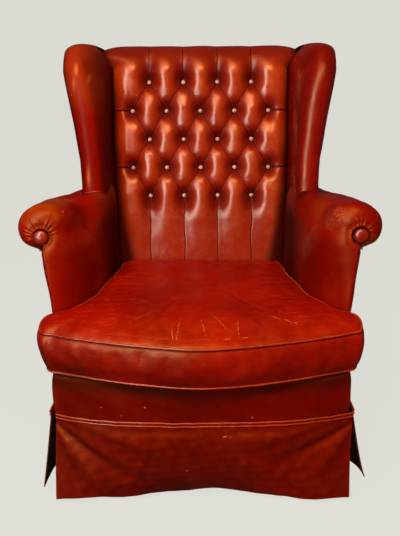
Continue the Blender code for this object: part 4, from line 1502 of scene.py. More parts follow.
    def gathered(self, rows: Array) -> Array:
        """Draws the scroll in round its button, in pleats."""
        dx, dz = rows[..., 0] - self.button_x, rows[..., 2] - self.button_z
        away = np.hypot(dx, dz)
        reach = away + 1.1 * np.clip(rows[..., 1] + 0.215, 0, 1)
        turn = np.arctan2(dz, dx)
        hand = self.side.value
        uneven = turn + 0.10 * np.sin(3 * turn + hand) + 0.05 * np.sin(7 * turn + 2.0 * hand)
        fold = np.abs(np.sin(self.pleat_count / 2 * uneven))
        puff = fold**0.55 - 0.62
        low_inner = eased((np.cos(turn - math.radians(-128)) - 0.35) / 0.35)
        window = 1.0 - 0.92 * low_inner
        strength = 0.0028 * bell(reach - 0.0235, 0.0070) + 0.0012 * bell(reach - 0.035, 0.010)
        lift = puff * strength * window
        lift -= 0.0080 * eased((0.0225 - away) / 0.0065) * (rows[..., 1] < -0.18)
        lift += 0.0024 * bell(reach - 0.0255, 0.0070)
        lift += 0.0010 * ripple(rows, 0.11, 31 + hand) + 0.00010 * ripple(rows, 0.03, 41 + hand)
        rows = rows + surface_normals(rows) * lift[..., None]
        most_forward = blend(-0.2275, -0.2520, (away - 0.0175) / 0.0085)
        rows[..., 1] = np.where(away < 0.026, np.maximum(rows[..., 1], most_forward), rows[..., 1])
        return rows

    def build(self, hide: Material) -> Body:
        """Makes the arm."""
        rows = self.rows()
        rows[:, [0, -1], 2] = self.foot
        rows[..., 0] *= self.side.value
        inner_foot, outer_foot = rows[:, -1:], rows[:, :1]
        bottom = [inner_foot + (outer_foot - inner_foot) * part for part in (0.35, 0.7)]
        rows = np.concatenate([rows, *bottom, outer_foot], axis=1)
        obj = closed_loft(f"{self.side.word}_stuffed_arm", rows)
        wear_layers(obj, 0.0012, 0.0011, 4)
        self.age(obj)
        finished(obj, hide, f"{self.side.word}_arm")
        return obj

    def age(self, obj: Body) -> None:
        """Paints shade into the scroll's groove, over the inner face and on the shoulder by the wing's foot,
        darkens the nose low down, and paints a highlight on the upward-facing top of the roll.
        """
        x, y, z = points_of(obj).T
        x = np.abs(x)
        away = np.hypot(x - self.button_x, z - self.button_z)
        # Painted shade round the scroll button's groove, over the inner face and on the shoulder under the
        # wing; the nose is darker low down.
        ring = 0.95 * bell(away - 0.0165, 0.0036) * (y < -0.20)
        inner = eased((0.280 - x) / 0.035) * eased((y + 0.15) / 0.22)
        inner *= eased((0.674 - z) / 0.080) * blend(1.0, 0.75, (y - 0.02) / 0.12)
        shoulder = 0.34 * eased((0.322 - x) / 0.030) * eased((y + 0.13) / 0.09) * eased((z - 0.600) / 0.05)
        nose = 0.30 * bell(x - 0.268, 0.022) * eased((0.60 - z) / 0.06)
        deepen(obj, "grime", ring, inner, shoulder, nose)
        # Painted highlight on the upward-facing top of the roll, towards the front and outside.
        facing_up = normals_of(obj)[:, 2]
        worn = eased((facing_up - 0.10) / 0.50) * eased((x - 0.304) / 0.03) * eased((0.02 - y) / 0.10)
        deepen(obj, "rubbed", 1.25 * worn)
        paint(obj, "dull", eased((facing_up - 0.35) / 0.5))


@dataclass
class ScrollButton:
    """The covered button in the middle of an arm's scroll."""

    side: Side
    radius: float = 0.0166
    dome: float = 0.0095
    back: float = -0.2320
    proud: float = 0.0045

    def build(self, arm: Arm, hide: Material) -> Body:
        """Makes the domed button in its place."""
        deselect_all()
        bpy.ops.mesh.primitive_uv_sphere_add(segments=56, ring_count=28, radius=1.0)
        obj = named(bpy.context.active_object, f"{self.side.word}_scroll_button")
        points = points_of(obj)
        turn = np.arctan2(points[:, 1], points[:, 0])
        low = np.clip(-points[:, 2], 0, 1)
        gather = 0.02 * (1 + np.cos(20 * turn)) * bell(points[:, 2], 0.25)
        points[:, :2] *= (1.0 - 0.25 * low - gather)[:, None]
        points[:, 2] = np.where(points[:, 2] > 0, points[:, 2] * self.dome, points[:, 2] * 0.005)
        points[:, :2] *= self.radius
        points[:, 2] += 0.0003 * ripple(points, 0.012, 5)
        place = np.column_stack([
            points[:, 0] + arm.button_x * self.side.value,
            self.back - self.proud - points[:, 2],
            points[:, 1] + arm.button_z,
        ])
        set_points(obj, place)
        weld(obj)
        smooth(obj)
        crown = np.clip(-(place[:, 1] - self.back) / 0.013, 0, 1)
        paint(obj, "rubbed", 0.35 * crown)
        paint(obj, "grime", np.clip(0.9 - 2.0 * crown, 0, 1))
        finished(obj, hide, f"{self.side.word}_arm_button")
        return obj


# ---------------------------------------------------------------- seat cushion
@dataclass
class SeatCushion:
    """The loose T cushion: a boxed and welted case, blown up by its filling."""

    front: float = -0.415
    back: float = 0.146
    bottom: float = CUSHION_DECK
    top: float = 0.4560
    bottom_welt: float = 0.3285
    top_welt: float = 0.4255
    centre_y: float = -0.120
    cell: float = 0.0056
    welt: float = 0.0022
    steps: int = 16
    most_swell: float = 0.0060
    groove: float = 0.0045

    def plan(self) -> Array:
        """The cushion's outline from above, all the way round."""
        front_x = np.linspace(0.0, 0.335, 16)
        front = np.column_stack([front_x, self.front + 0.092 * (front_x / 0.354) ** 1.6])
        ear = np.array([
            (0.3500, -0.3290), (0.3585, -0.321), (0.3640, -0.309), (0.3665, -0.293), (0.3640, -0.275),
            (0.3540, -0.2600), (0.338, -0.2520), (0.3215, -0.2465),
        ])
        depths = np.array([-0.232, -0.205, -0.170, -0.130, -0.073, 0.0, 0.070, 0.128])
        inner = np.column_stack([arm_inner_x(depths) - 0.0035, depths])
        corner = np.array([(0.2145, 0.139), (0.2060, 0.1445), *((x, self.back) for x in (0.190, 0.10, 0.0))])
        half = flowing(np.vstack([front, ear, inner, corner]), np.linspace(0, 1, 900))
        half[:, 0] = np.maximum(half[:, 0], 0.0)
        left = half[::-1] * (-1, 1)
        return resampled(np.vstack([half, left[1:-1]]), 620, closed=True)

    def welt_height(self, y: Array) -> Array:
        """Height of the top welt: low along the bow front, and nearly level with the top elsewhere."""
        line = ((-0.33, 0.4260), (-0.300, 0.4340), (-0.265, 0.4440), (-0.20, 0.4490), (0.146, 0.4455))
        return through(line, y)

    def at_scale(self, plan: Array, size: float, z: float) -> Array:
        """The outline drawn in towards the middle, at one height of the front's own section."""
        middle = np.array([0.0, self.centre_y])
        welt = self.welt_height(plan[:, 1])
        below = self.bottom + (z - self.bottom) * (welt - self.bottom) / (self.top_welt - self.bottom)
        above = welt + (z - self.top_welt) * (self.top - welt) / (self.top - self.top_welt)
        height = above if z > self.top_welt else below
        return np.column_stack([middle + (plan - middle) * size, height])

    def case(self) -> Body:
        """The sewn case as a body, before its filling swells it."""
        plan = self.plan()
        levels = (
            (self.bottom, 0.70), (self.bottom, 0.936), (self.bottom_welt, 0.960), (0.345, 0.980),
            (0.366, 0.996), (0.388, 1.005), (0.408, 1.003), (self.top_welt, 0.986), (0.434, 0.962),
            (0.443, 0.915), (0.4505, 0.82), (0.4545, 0.66), (self.top, 0.40),
        )
        rows = np.array([self.at_scale(plan, size, z) for z, size in levels])
        rows = np.concatenate([rows, rows[:, :1]], axis=1)
        obj = closed_loft("seat_cushion_case", rows)
        apply_modifier(obj, "REMESH", mode="VOXEL", voxel_size=self.cell, adaptivity=0.0)
        return obj

    def swell(self, obj: Body) -> None:
        """Blows the case up like cloth over its filling, held at its seams and along its bottom."""
        start = points_of(obj)
        seams = bell(start[:, 2] - self.welt_height(start[:, 1]), 0.004) * self.near_edge(start)
        low = (start[:, 2] < 0.336).astype(float)
        held = np.clip(np.maximum(seams, low), 0, 1)
        group = obj.vertex_groups.new(name="seams")
        for index in np.flatnonzero(held > 0.3):
            group.add([int(index)], float(held[index]), "REPLACE")
        activate(obj)
        cloth = obj.modifiers.new("filling", "CLOTH")
        feel = {
            "quality": 6, "mass": 0.3, "tension_stiffness": 18, "compression_stiffness": 18,
            "shear_stiffness": 8, "bending_stiffness": 2.5, "use_pressure": True,
            "uniform_pressure_force": 4.0, "shrink_min": -0.015, "vertex_group_mass": "seams",
            "pin_stiffness": 1.0,
        }
        for key, value in feel.items():
            setattr(cloth.settings, key, value)
        cloth.settings.effector_weights.gravity = 0.0
        cloth.collision_settings.use_collision = False
        scene = bpy.context.scene
        for count in range(1, self.steps + 1):
            scene.frame_set(count)
        bpy.ops.object.modifier_apply(modifier=cloth.name)
        scene.frame_set(1)
        move = points_of(obj) - start
        length = np.linalg.norm(move, axis=1)
        held_back = self.most_swell * np.tanh(length / self.most_swell) / np.maximum(length, 1e-9)
        move *= held_back[:, None]
        around = neighbours_of(obj)
        for _ in range(5):
            move = 0.4 * move + 0.6 * around(move)
        set_points(obj, start + move)

    def near_edge(self, points: Array) -> Array:
        """1 within a thumb's width of the outline, and 0 further in."""
        plan = self.plan()[::6]
        away = np.sqrt(((points[:, None, :2] - plan[None]) ** 2).sum(axis=2).min(axis=1))
        return eased((0.022 - away) / 0.010)

    def creased(self, obj: Body) -> None:
        """Presses in the creases and hollows that years of use have left."""
        points = points_of(obj)
        normals = normals_of(obj)
        lift = 0.0020 * ripple(points, 0.17, 51) + 0.0006 * ripple(points, 0.06, 52)
        top = eased((points[:, 2] - 0.438) / 0.008)
        for start, stop, depth, width in self.folds():
            a, b = np.array(start), np.array(stop)
            run = b - a
            part = np.clip((points[:, :2] - a) @ run / (run @ run), 0, 1)
            bend = 0.012 * np.sin(math.pi * part) * np.sin(7.0 * a[0] + 3.0 * b[1])
            middle = a + part[:, None] * run
            across = np.array([-run[1], run[0]]) / np.linalg.norm(run)
            away = (points[:, :2] - middle) @ across - bend
            beyond = np.linalg.norm(points[:, :2] - middle, axis=1)
            fade = np.sin(math.pi * np.clip(part, 0.02, 0.98)) ** 0.5 * (beyond < 0.05)
            lift -= depth * fade * bell(away, width) * top
            lift += 0.55 * depth * fade * bell(np.abs(away) - 1.9 * width, 1.2 * width) * top
        lift = lift * eased((points[:, 2] - 0.333) / 0.02)
        under = points[:, 2] - self.welt_height(points[:, 1])
        lift -= 0.0016 * bell(under + self.groove, 0.0028) * self.near_edge(points)
        set_points(obj, points + normals * lift[:, None])

    @staticmethod
    def folds() -> tuple[tuple[tuple[float, float], tuple[float, float], float, float], ...]:
        """The creases on the top: start, stop, depth and width."""
        return (
            ((0.010, 0.115), (0.055, 0.020), 0.0020, 0.0045),
            ((0.250, 0.010), (0.150, -0.030), 0.0015, 0.0075),
            ((0.256, -0.060), (0.120, -0.110), 0.0013, 0.0085),
            ((0.290, -0.200), (0.160, -0.190), 0.0013, 0.0085),
            ((-0.250, 0.020), (-0.140, -0.020), 0.0015, 0.0075),
            ((-0.256, -0.080), (-0.110, -0.110), 0.0013, 0.0085),
            ((-0.290, -0.200), (-0.150, -0.215), 0.0013, 0.0085),
            ((-0.120, 0.135), (-0.070, 0.030), 0.0012, 0.0065),
            ((0.150, 0.135), (0.110, 0.040), 0.0012, 0.0065),
            ((-0.030, -0.180), (-0.090, -0.300), 0.0016, 0.0060),
            ((0.060, -0.150), (0.140, -0.280), 0.0014, 0.0070),
        )

    def welts(self, obj: Body) -> Body:
        """The piped seams round the top and the bottom of the boxing."""
        plan = self.plan()
        pieces = []
        for name, z, size in (("top", self.top_welt, 1.0), ("bottom", self.bottom_welt + 0.0015, 0.972)):
            path = nearest_on(obj, self.at_scale(plan, size, z), 0.55 * self.welt)
            path = relaxed(path, 4, closed=True)
            path[:, 2] += 0.0003 * ripple(path, 0.03, 61)
            path[:, 2] = np.maximum(path[:, 2], self.bottom + self.welt)
            pieces.append(tube(f"cushion_{name}_welt", path, self.welt, closed=True, sides=3))
        return joined("cushion_welts", pieces)

    def age(self, obj: Body) -> None:
        """Rubs the front edge of the seat and paints shade into the groove below its welt."""
        x, y, z = points_of(obj).T
        under = z - self.welt_height(y)
        front = eased((-0.255 - y) / 0.13) * eased((under + 0.002) / 0.004)
        front *= 1.0 - 0.6 * eased((np.abs(x) - 0.11) / 0.12)
        paint(obj, "rubbed", np.maximum(0.5 * layer_of(obj, "rubbed"), 0.56 * front))
        # Painted shade in the groove under the top welt.
        groove = 0.95 * bell(under + self.groove, 0.0022) * self.near_edge(points_of(obj))
        paint(obj, "grime", np.maximum(0.6 * layer_of(obj, "grime"), groove))
        paint(obj, "dull", eased((normals_of(obj)[:, 2] - 0.80) / 0.15))

    def build(self, hide: Material, welt_hide: Material) -> Body:
        """Makes the cushion with its welts."""
        obj = self.case()
        self.swell(obj)
        apply_modifier(obj, "SUBSURF", levels=1, render_levels=1)
        self.creased(obj)
        smooth(obj)
        welts = self.welts(obj)
        wear_layers(obj, 0.0014, 0.0012, 4)
        self.age(obj)
        finished(named(obj, "boxed_seat_cushion"), hide, "seat_cushion")
        evenly_worn(welts, 0.8)
        finished(welts, welt_hide, "seat_cushion")
        return obj


# ---------------------------------------------------------------- border and skirt
@dataclass
class FrontBorder:
    """The stuffed band below the cushion, across the bow front and round to the arms."""

    end_y: float = -0.2102
    bottom: float = PANEL_BOTTOM
    top: float = 0.3242
    thick: float = 0.0105
    bulge: float = 0.0045
    rounding: int = 110
    most_forward: float = -0.3735

    def line(self) -> Array:
        """The band's plan from its left end, round the bow, to its right end."""
        x = np.linspace(-SEAT_HALF, SEAT_HALF, 120)
        left, right = ([(hand * SEAT_HALF, self.end_y)] for hand in (-1, 1))
        line = resampled(np.vstack([left, np.column_stack([x, bow_y(x)]), right]), 900)
        return resampled(relaxed(line, self.rounding), 260)

    def rows(self) -> Array:
        """The band's outer face, from its bottom edge to its top."""
        line = self.line()
        part = np.linspace(0.0, 1.0, 26)
        swell = 1.0 - self.bulge * (2 * part - 1) ** 4 / 0.36
        height = blend(self.bottom, self.top, part)
        return np.array([
            np.column_stack([line * wide, np.full(len(line), z)]) for wide, z in zip(swell, height)
        ])

    def build(self, hide: Material) -> Body:
        """Makes the band."""
        rows = self.rows()
        rows[..., 1] = np.maximum(rows[..., 1], self.most_forward)
        lift = 0.0011 * ripple(rows, 0.09, 71) + 0.00012 * ripple(rows, 0.03, 72)
        rows = rows + surface_normals(rows) * lift[..., None] * self.turned(rows)
        obj = laid_grid("front_band", rows)
        apply_modifier(obj, "SOLIDIFY", thickness=self.thick, offset=-self.turned(rows))
        weld(obj)
        smooth(obj, 70.0)
        wear_layers(obj, 0.0020, 0.0020, 4)
        # Painted shadow of the cushion's overhang, along the top of the band.
        paint(obj, "grime", 0.85 * eased((points_of(obj)[:, 2] - 0.278) / 0.040))
        finished(obj, hide, "front_border")
        return obj

    @staticmethod
    def turned(rows: Array) -> float:
        """1 where the rows' normals face outwards, else -1."""
        middle = rows[rows.shape[0] // 2, rows.shape[1] // 2]
        normal = surface_normals(rows)[rows.shape[0] // 2, rows.shape[1] // 2]
        return 1.0 if normal[1] * np.sign(middle[1]) > 0 else -1.0


@dataclass(frozen=True)
class Fold:
    """One drape fold of a skirt panel, as places along it and heights."""

    start: tuple[float, float]
    stop: tuple[float, float]
    depth: float
    width: float


@dataclass
class Skirt:
    """The skirt: four panels hung from the bottom of the seat, open at the corners."""

    top: float = 0.2260
    free: float = 0.2125
    hem: float = 0.0125
    thick: float = 0.0028
    gap: float = 0.0003
    corner_y: float = -0.318
    front_half: float = 0.3448
    back_half: float = 0.278
    lining_turn: float = -0.2

    def falling(self, z: Array) -> Array:
        """How far down its free part a height is, from 0 to 1."""
        return np.clip((self.free - z) / (self.free - self.hem), 0.0, 1.0)

    def heights(self, count: int) -> Array:
        """The heights of a panel's rows, closer together where it is sewn on."""
        sewn = np.linspace(self.top, self.free, 8)[:-1]
        return np.concatenate([sewn, np.linspace(self.free, self.hem, count)])

    def folded(self, along: Array, z: Array, folds: Sequence[Fold]) -> Array:
        """How far a panel's folds push it out."""
        push = np.zeros(np.broadcast(along, z).shape)
        for fold in folds:
            run = np.array(fold.stop) - np.array(fold.start)
            length = np.linalg.norm(run)
            run = run / length
            da, dz = along - fold.start[0], z - fold.start[1]
            part = np.clip((da * run[0] + dz * run[1]) / length, 0, 1)
            away = -da * run[1] + dz * run[0]
            wide = fold.width * (0.45 + 0.9 * part)
            fade = np.sin(math.pi * np.clip(0.06 + 0.94 * part, 0, 1)) ** 0.6
            push += fold.depth * fade * bell(away, wide)
        return push

    def front_rows(self) -> Array:
        """The front panel: its top follows the bow and its hem hangs straighter."""
        heights = self.heights(84)
        x = np.linspace(-self.front_half, self.front_half, 250)[None]
        t = self.falling(heights)[:, None]
        top_y = bow_y(x / (self.front_half + 0.0001) * SEAT_HALF) - 0.0039
        hem_y = -0.315 - 0.037 * eased(np.abs(x) / 0.290)
        y = blend(top_y, hem_y, t**2)
        z = heights[:, None] + 0 * x
        reach = np.where(x < 0, -0.0100, 0.0008)
        spread = reach * np.sign(x) * eased((np.abs(x) - 0.22) / 0.12) * (1 - t) ** 2
        hem_wave = 0.0035 * np.sin(x * 19.0 + 0.6) + 0.002 * np.sin(x * 43.0)
        z = z + t * hem_wave * 0.8 + 0.0012 * t
        push = self.folded(x + 0 * z, z, self.front_folds())
        rows = np.stack([x + spread + 0 * z, y - push, z], -1)
        rows[..., 1] += 0.0016 * t * ripple(rows, 0.10, 81) + 0.0006 * ripple(rows, 0.03, 82)
        return rows

    @staticmethod
    def front_folds() -> tuple[Fold, ...]:
        """The front panel's folds, which fall inwards from its upper corners."""
        return (
            Fold((-0.335, 0.200), (-0.140, 0.060), -0.0060, 0.016),
            Fold((-0.335, 0.185), (-0.215, 0.030), 0.0055, 0.022),
            Fold((-0.250, 0.205), (-0.060, 0.150), 0.0035, 0.020),
            Fold((0.335, 0.200), (0.150, 0.105), -0.0060, 0.016),
            Fold((0.335, 0.185), (0.220, 0.040), 0.0055, 0.022),
            Fold((0.240, 0.205), (0.050, 0.165), 0.0035, 0.020),
            Fold((-0.040, 0.120), (-0.020, 0.015), 0.0035, 0.030),
            Fold((0.110, 0.110), (0.125, 0.015), -0.0030, 0.026),
            Fold((-0.130, 0.100), (-0.150, 0.015), -0.0028, 0.026),
        )

    def side_rows(self, side: Side) -> Array:
        """A side panel, which flares out at its front corner."""
        heights = self.heights(72)
        y = np.linspace(self.corner_y, 0.326, 190)[None]
        z = heights[:, None] + 0 * y
        t = self.falling(z)
        corner = bell(y - self.corner_y, 0.09)
        x = outside_arm_x(y, z) + 0.0022 + self.thick + (0.012 + 0.024 * corner) * t + 0.0045 * corner
        x += 0.0045 * t * np.sin(y * 21.0 + side.value) + 0.002 * t * np.sin(y * 47.0)
        z = z + 0.003 * t * np.sin(y * 15.0 + 1.5 * side.value)
        z = z + (0.036 if side is Side.RIGHT else 0.012) * t**3 * bell(y - self.corner_y, 0.14)
        return np.stack([side.value * x, y + 0 * z, z], -1)

    def back_rows(self) -> Array:
        """The back panel."""
        heights = self.heights(60)
        x = np.linspace(-self.back_half, self.back_half, 150)[None]
        z = heights[:, None] + 0 * x
        t = self.falling(z)
        y = outside_back_y(self.top) + self.gap + self.thick + 0.012 * t
        y = y + 0.004 * t * np.sin(x * 25.0) + 0.002 * t * np.sin(x * 55.0 + 1.0)
        return np.stack([x + 0 * z, y + 0 * z, z + 0.002 * t * np.sin(x * 17.0)], -1)

    def panel(self, name: str, rows: Array, outwards: Array) -> Body:
        """A panel of hide from the rows of its outer face."""
        obj = solid_sheet(name, rows, self.thick, outwards)
        sharp = math.radians(60)
        apply_modifier(obj, "BEVEL", width=0.0009, segments=2, limit_method="ANGLE", angle_limit=sharp)
        smooth(obj, 50.0)
        return obj

    def trim(self, name: str, rows: Array, outwards: Array, hide: Material) -> None:
        """The welt above a panel and the rolled edge that hides its tacks."""
        line = resampled(rows[0], 220)
        pieces = []
        for lift, drop, radius in ((-0.0002, -0.0018, 0.0022), (0.0004, 0.0062, 0.0017)):
            path = line + outwards * lift
            path[:, 2] = self.top - drop + 0.0004 * ripple(path, 0.05, 83)
            pieces.append(tube(f"{name}_edge", path, radius))
        obj = joined(f"{name}_welts", pieces)
        evenly_worn(obj, 0.6)
        finished(obj, hide)

    def build(self, hide: Material, flesh: Material, welt: Material) -> None:
        """Makes the four panels and their rolled edges."""
        panels = (
            ("front", self.front_rows(), (0.0, -1.0, 0.0)),
            ("left", self.side_rows(Side.LEFT), (-1.0, 0.0, 0.0)),
            ("right", self.side_rows(Side.RIGHT), (1.0, 0.0, 0.0)),
            ("back", self.back_rows(), (0.0, 1.0, 0.0)),
        )
        for word, rows, facing in panels:
            name, outwards = f"{word}_skirt_panel", np.array(facing)
            obj = self.panel(name, rows, outwards)
            wear_layers(obj, 0.0008, 0.0008, 3)
            self.age(obj)
            finished(obj, hide, f"skirt_{word}")
            self.back_with_flesh(obj, flesh, outwards)
            self.trim(name, rows, outwards, welt)

    @staticmethod
    def age(obj: Body) -> None:
        """Paints a highlight across a panel below its welts, where its folds catch the light, and paints
        shade low down on its right.
        """
        points = points_of(obj)
        x, _, z = points.T
        # Painted highlight on the folds under the welts.
        worn = 0.60 * bell(z - 0.1975, 0.0075) * eased((0.22 - np.abs(x)) / 0.10)
        deepen(obj, "rubbed", worn * (0.6 + 0.4 * ripple(points, 0.05, 97)))
        # Painted shade low on the right-hand side.
        deepen(obj, "grime", 0.40 * eased((x - 0.24) / 0.08) * eased((0.15 - z) / 0.10))

    @staticmethod
    def back_with_flesh(obj: Body, flesh: Material, outwards: Array) -> None:
        """Gives a panel's inner face the hide's flesh side, whose very dark colour is partly painted shade
        for the inside of the flap.
        """
        obj.data.materials.append(flesh)
        inner = (read(obj.data.polygons, "normal", 3) @ outwards) < Skirt.lining_turn
        obj.data.polygons.foreach_set("material_index", inner.astype(np.int32))
        obj.data.update()


# ---------------------------------------------------------------- outer panels
@dataclass
class OuterPanels:
    """The flat hides tacked over the outside of the back and of the arms."""

    thick: float = 0.0038
    bottom: float = PANEL_BOTTOM
    most_slack: float = 0.0022
    back_half: float = 0.2863
    back_top: float = 0.9998
    arm_top: float = 0.5768

    def slack(self, rows: Array, seed: int) -> Array:
        """How far a panel sinks in between its edges, with a few puckers from its tacks."""
        high, wide = rows.shape[:2]
        v = np.linspace(-1, 1, high)[:, None]
        u = np.linspace(-1, 1, wide)[None]
        free = (1 - v**8) * (1 - u**8)
        sunk = 0.0012 * free * (1 + ripple(rows, 0.14, seed)) + 0.0004 * free * ripple(rows, 0.04, seed + 1)
        return np.minimum(sunk, self.most_slack)

    def back_panel(self, hide: Material) -> Body:
        """The outside back."""
        z = np.linspace(self.bottom, self.back_top, 130)[:, None]
        x = np.linspace(-self.back_half, self.back_half, 96)[None]
        rows = np.stack([x + 0 * z, outside_back_y(z) + 0 * x, z + 0 * x], -1)
        rows[..., 1] -= self.slack(rows, 91)
        return self.panel("outside_back_hide", rows, np.array([0.0, 1.0, 0.0]), hide, "outside_back")

    def arm_panel(self, side: Side, hide: Material) -> Body:
        """The outside of one arm."""
        z = np.linspace(self.bottom, self.arm_top, 70)[:, None]
        end_y = outside_back_y(z) - 0.0043
        y = blend(-0.2054, end_y, np.linspace(0, 1, 110)[None])
        x = np.maximum(outside_arm_x(y, z), 0.2836)
        rows = np.stack([side.value * x, y, z + 0 * y], -1)
        rows[..., 0] -= side.value * self.slack(rows, 93 + side.value)
        name = f"{side.word}_outside_arm"
        return self.panel(f"{name}_hide", rows, np.array([float(side.value), 0.0, 0.0]), hide, name)

    def panel(
        self, name: str, rows: Array, outwards: Array, hide: Material, node: str
    ) -> Body:
        """One panel from the rows of its outer face."""
        obj = solid_sheet(name, rows, self.thick, outwards)
        smooth(obj, 50.0)
        wear_layers(obj, 0.0006, 0.0006, 3)
        finished(obj, hide, node)
        return obj


# ---------------------------------------------------------------- timber, steel and cloth
def wood_material(
    name: str, light: Colour, dark: Colour, rough: float, lengthways: Point
) -> Material:
    """Sawn or stained timber with its grain along one axis.

    Args:
        name: the material's name.
        light: the colour between the grain lines.
        dark: the colour of the grain lines.
        rough: the surface's roughness.
        lengthways: how much the grain is drawn out along each axis.

    Returns:
        The material.
    """
    material, build, shader = new_material(name)
    drawn = build.vector("MULTIPLY", build.place(), lengthways)
    rings = build.noise(drawn, 60.0, 5.0, 0.65)
    fibre = build.noise(drawn, 420.0, 2.0, 0.6)
    share = build.math("MULTIPLY_ADD", fibre, 0.4, build.span(rings, 0.35, 0.65))
    build.feed(shader["Base Color"], build.mix(share, light, dark))
    build.feed(shader["Roughness"], build.math("MULTIPLY_ADD", fibre, 0.2, rough - 0.1))
    build.feed(shader["Normal"], build.bump(share, FRAME_BUMP))
    return material


def steel_material() -> Material:
    """Spring steel, dulled by a little rust."""
    material, build, shader = new_material("dull spring steel")
    rust = build.span(build.noise(build.place(), 120.0, 4.0, 0.6), 0.48, 0.66)
    build.feed(shader["Base Color"], build.mix(rust, (0.33, 0.32, 0.30), (0.13, 0.045, 0.018)))
    build.feed(shader["Metallic"], build.less(1.0, rust))
    build.feed(shader["Roughness"], build.math("MULTIPLY_ADD", rust, 0.4, 0.38))
    return material


def woven_material() -> Material:
    """Plain dark cotton cloth for the deck and the dust cover."""
    material, build, shader = new_material("woven deck cloth")
    place = build.place()
    parts = build.add("ShaderNodeSeparateXYZ")
    build.feed(parts.inputs[0], place)
    warp, weft = (build.math("SINE", build.times(parts.outputs[axis], 5200.0)) for axis in (0, 1))
    weave = build.math("MULTIPLY_ADD", build.times(warp, weft), 0.5, 0.5)
    dust = build.span(build.noise(place, 11.0, 4.0, 0.6), 0.4, 0.75)
    cloth = build.mix(weave, (0.022, 0.020, 0.019), (0.050, 0.046, 0.042))
    build.feed(shader["Base Color"], build.mix(build.times(dust, 0.35), cloth, (0.16, 0.14, 0.12)))
    build.feed(shader["Roughness"], 0.95)
    build.feed(shader["Normal"], build.bump(weave, FRAME_BUMP))
    return material


def dress_frame(materials: dict[str, Material]) -> None:
    """Gives each frame node that stays in view the finish of its slot.

    Args:
        materials: the finish of each slot name.
    """
    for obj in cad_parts.values():
        for slot in obj.material_slots:
            for key, material in materials.items():
                if slot.material is not None and slot.material.name.startswith(key):
                    slot.material = material


# ---------------------------------------------------------------- studio
@dataclass
class Studio:
    """A plain pale room with soft light from the upper left, and the camera."""

    eye: Point = (0.0039, -1.7108, 1.0283)
    pitch: float = 71.9539
    yaw: float = 0.24
    roll: float = -0.4206
    lens: float = 45.827
    paper: Colour = (0.708, 0.708, 0.651)
    fill: Colour = (0.070, 0.062, 0.055)

    def camera(self) -> None:
        """Places the camera."""
        data = bpy.data.cameras.new("camera")
        data.lens = self.lens
        data.clip_start = 0.05
        obj = bpy.data.objects.new("camera", data)
        bpy.context.scene.collection.objects.link(obj)
        turn = (
            Matrix.Rotation(math.radians(self.yaw), 4, "Z")
            @ Matrix.Rotation(math.radians(self.pitch), 4, "X")
            @ Matrix.Rotation(math.radians(self.roll), 4, "Z")
        )
        obj.matrix_world = Matrix.Translation(self.eye) @ turn
        bpy.context.scene.camera = obj

    def lamp(
        self, name: str, place: Point, target: Point, size: tuple[float, float], power: float,
        colour: Colour, diffuse: bool = True, glossy: bool = True,
    ) -> None:
        """One soft box aimed at a point, kept out of the even light or out of the highlights if asked."""
        data = bpy.data.lights.new(name, "AREA")
        data.shape = "RECTANGLE"
        data.size, data.size_y = size
        data.energy = power
        data.color = colour
        obj = bpy.data.objects.new(name, data)
        bpy.context.scene.collection.objects.link(obj)
        obj.visible_diffuse = diffuse
        obj.visible_glossy = glossy
        away = Vector(place) - Vector(target)
        obj.matrix_world = Matrix.Translation(place) @ away.to_track_quat("Z", "Y").to_matrix().to_4x4()

    def floor(self) -> Body:
        """The pale floor that the chair stands on."""
        deselect_all()
        bpy.ops.mesh.primitive_plane_add(size=24.0)
        obj = named(bpy.context.active_object, "pale_floor")
        material, build, shader = new_material("pale floor")
        finish = {
            "Base Color": tuple(0.05 * value for value in self.paper), "Roughness": 1.0,
            "Specular IOR Level": 0.0, "Emission Color": self.paper, "Emission Strength": 0.98,
        }
        for key, value in finish.items():
            build.feed(shader[key], value)
        obj.data.materials.append(material)
        obj.visible_glossy = False
        obj.visible_diffuse = False
        return obj

    def world(self) -> None:
        """Pale walls to look at, and an even low fill from all round."""
        world = bpy.data.worlds.new("room")
        world.use_nodes = True
        tree = world.node_tree
        build = Nodes(tree)
        node = tree.nodes["Background"]
        seen = build.add("ShaderNodeLightPath").outputs["Is Camera Ray"]
        build.feed(node.inputs["Color"], build.mix(seen, self.fill, self.paper))
        bpy.context.scene.world = world

    def build(self) -> None:
        """Sets the whole studio up."""
        self.camera()
        self.world()
        self.floor()
        daylight, middle, chest = (1.0, 0.98, 0.95), (0.0, 0.0, 0.5), (0.0, 0.1, 0.75)
        self.lamp("key", (-0.42, -1.5, 2.5), middle, (1.2, 1.0), 90.0, (1.0, 0.99, 0.97), glossy=False)
        low, white = (0.0, 0.0, 0.4), (1.0, 0.98, 0.96)
        self.lamp("front", (0.1, -2.3, 0.9), low, (1.4, 0.8), 24.0, white, glossy=False)
        self.lamp("fill", (1.7, -1.2, 1.2), middle, (1.4, 1.4), 1.0, daylight)
        self.lamp("back", (0.4, 2.2, 2.2), (0.0, 0.3, 0.5), (1.6, 1.6), 8.0, daylight, glossy=False)
        self.lamp("strip", (-1.05, -1.75, 1.35), chest, (0.85, 2.1), 150.0, (0.40, 0.80, 1.2), diffuse=False)
        self.lamp("glint", (0.10, -1.20, 2.25), chest, (0.9, 0.40), 25.0, (1.0, 0.95, 0.60), diffuse=False)
        self.lamp("sheen", (-0.6, -0.9, 2.6), middle, (1.2, 1.2), 26.0, (1.0, 0.70, 0.30), diffuse=False)
        bpy.context.scene.view_settings.view_transform = "Standard"


def scuffs(depth: float, *marks: tuple[float, float, float, float], width: float) -> tuple[Scratch, ...]:
    """Short scuffs on an upright face: each one's place, (x, z), then how far it runs and rises."""
    return tuple(Scratch((x, depth, z), (x + run, depth, z + rise), width) for x, z, run, rise in marks)


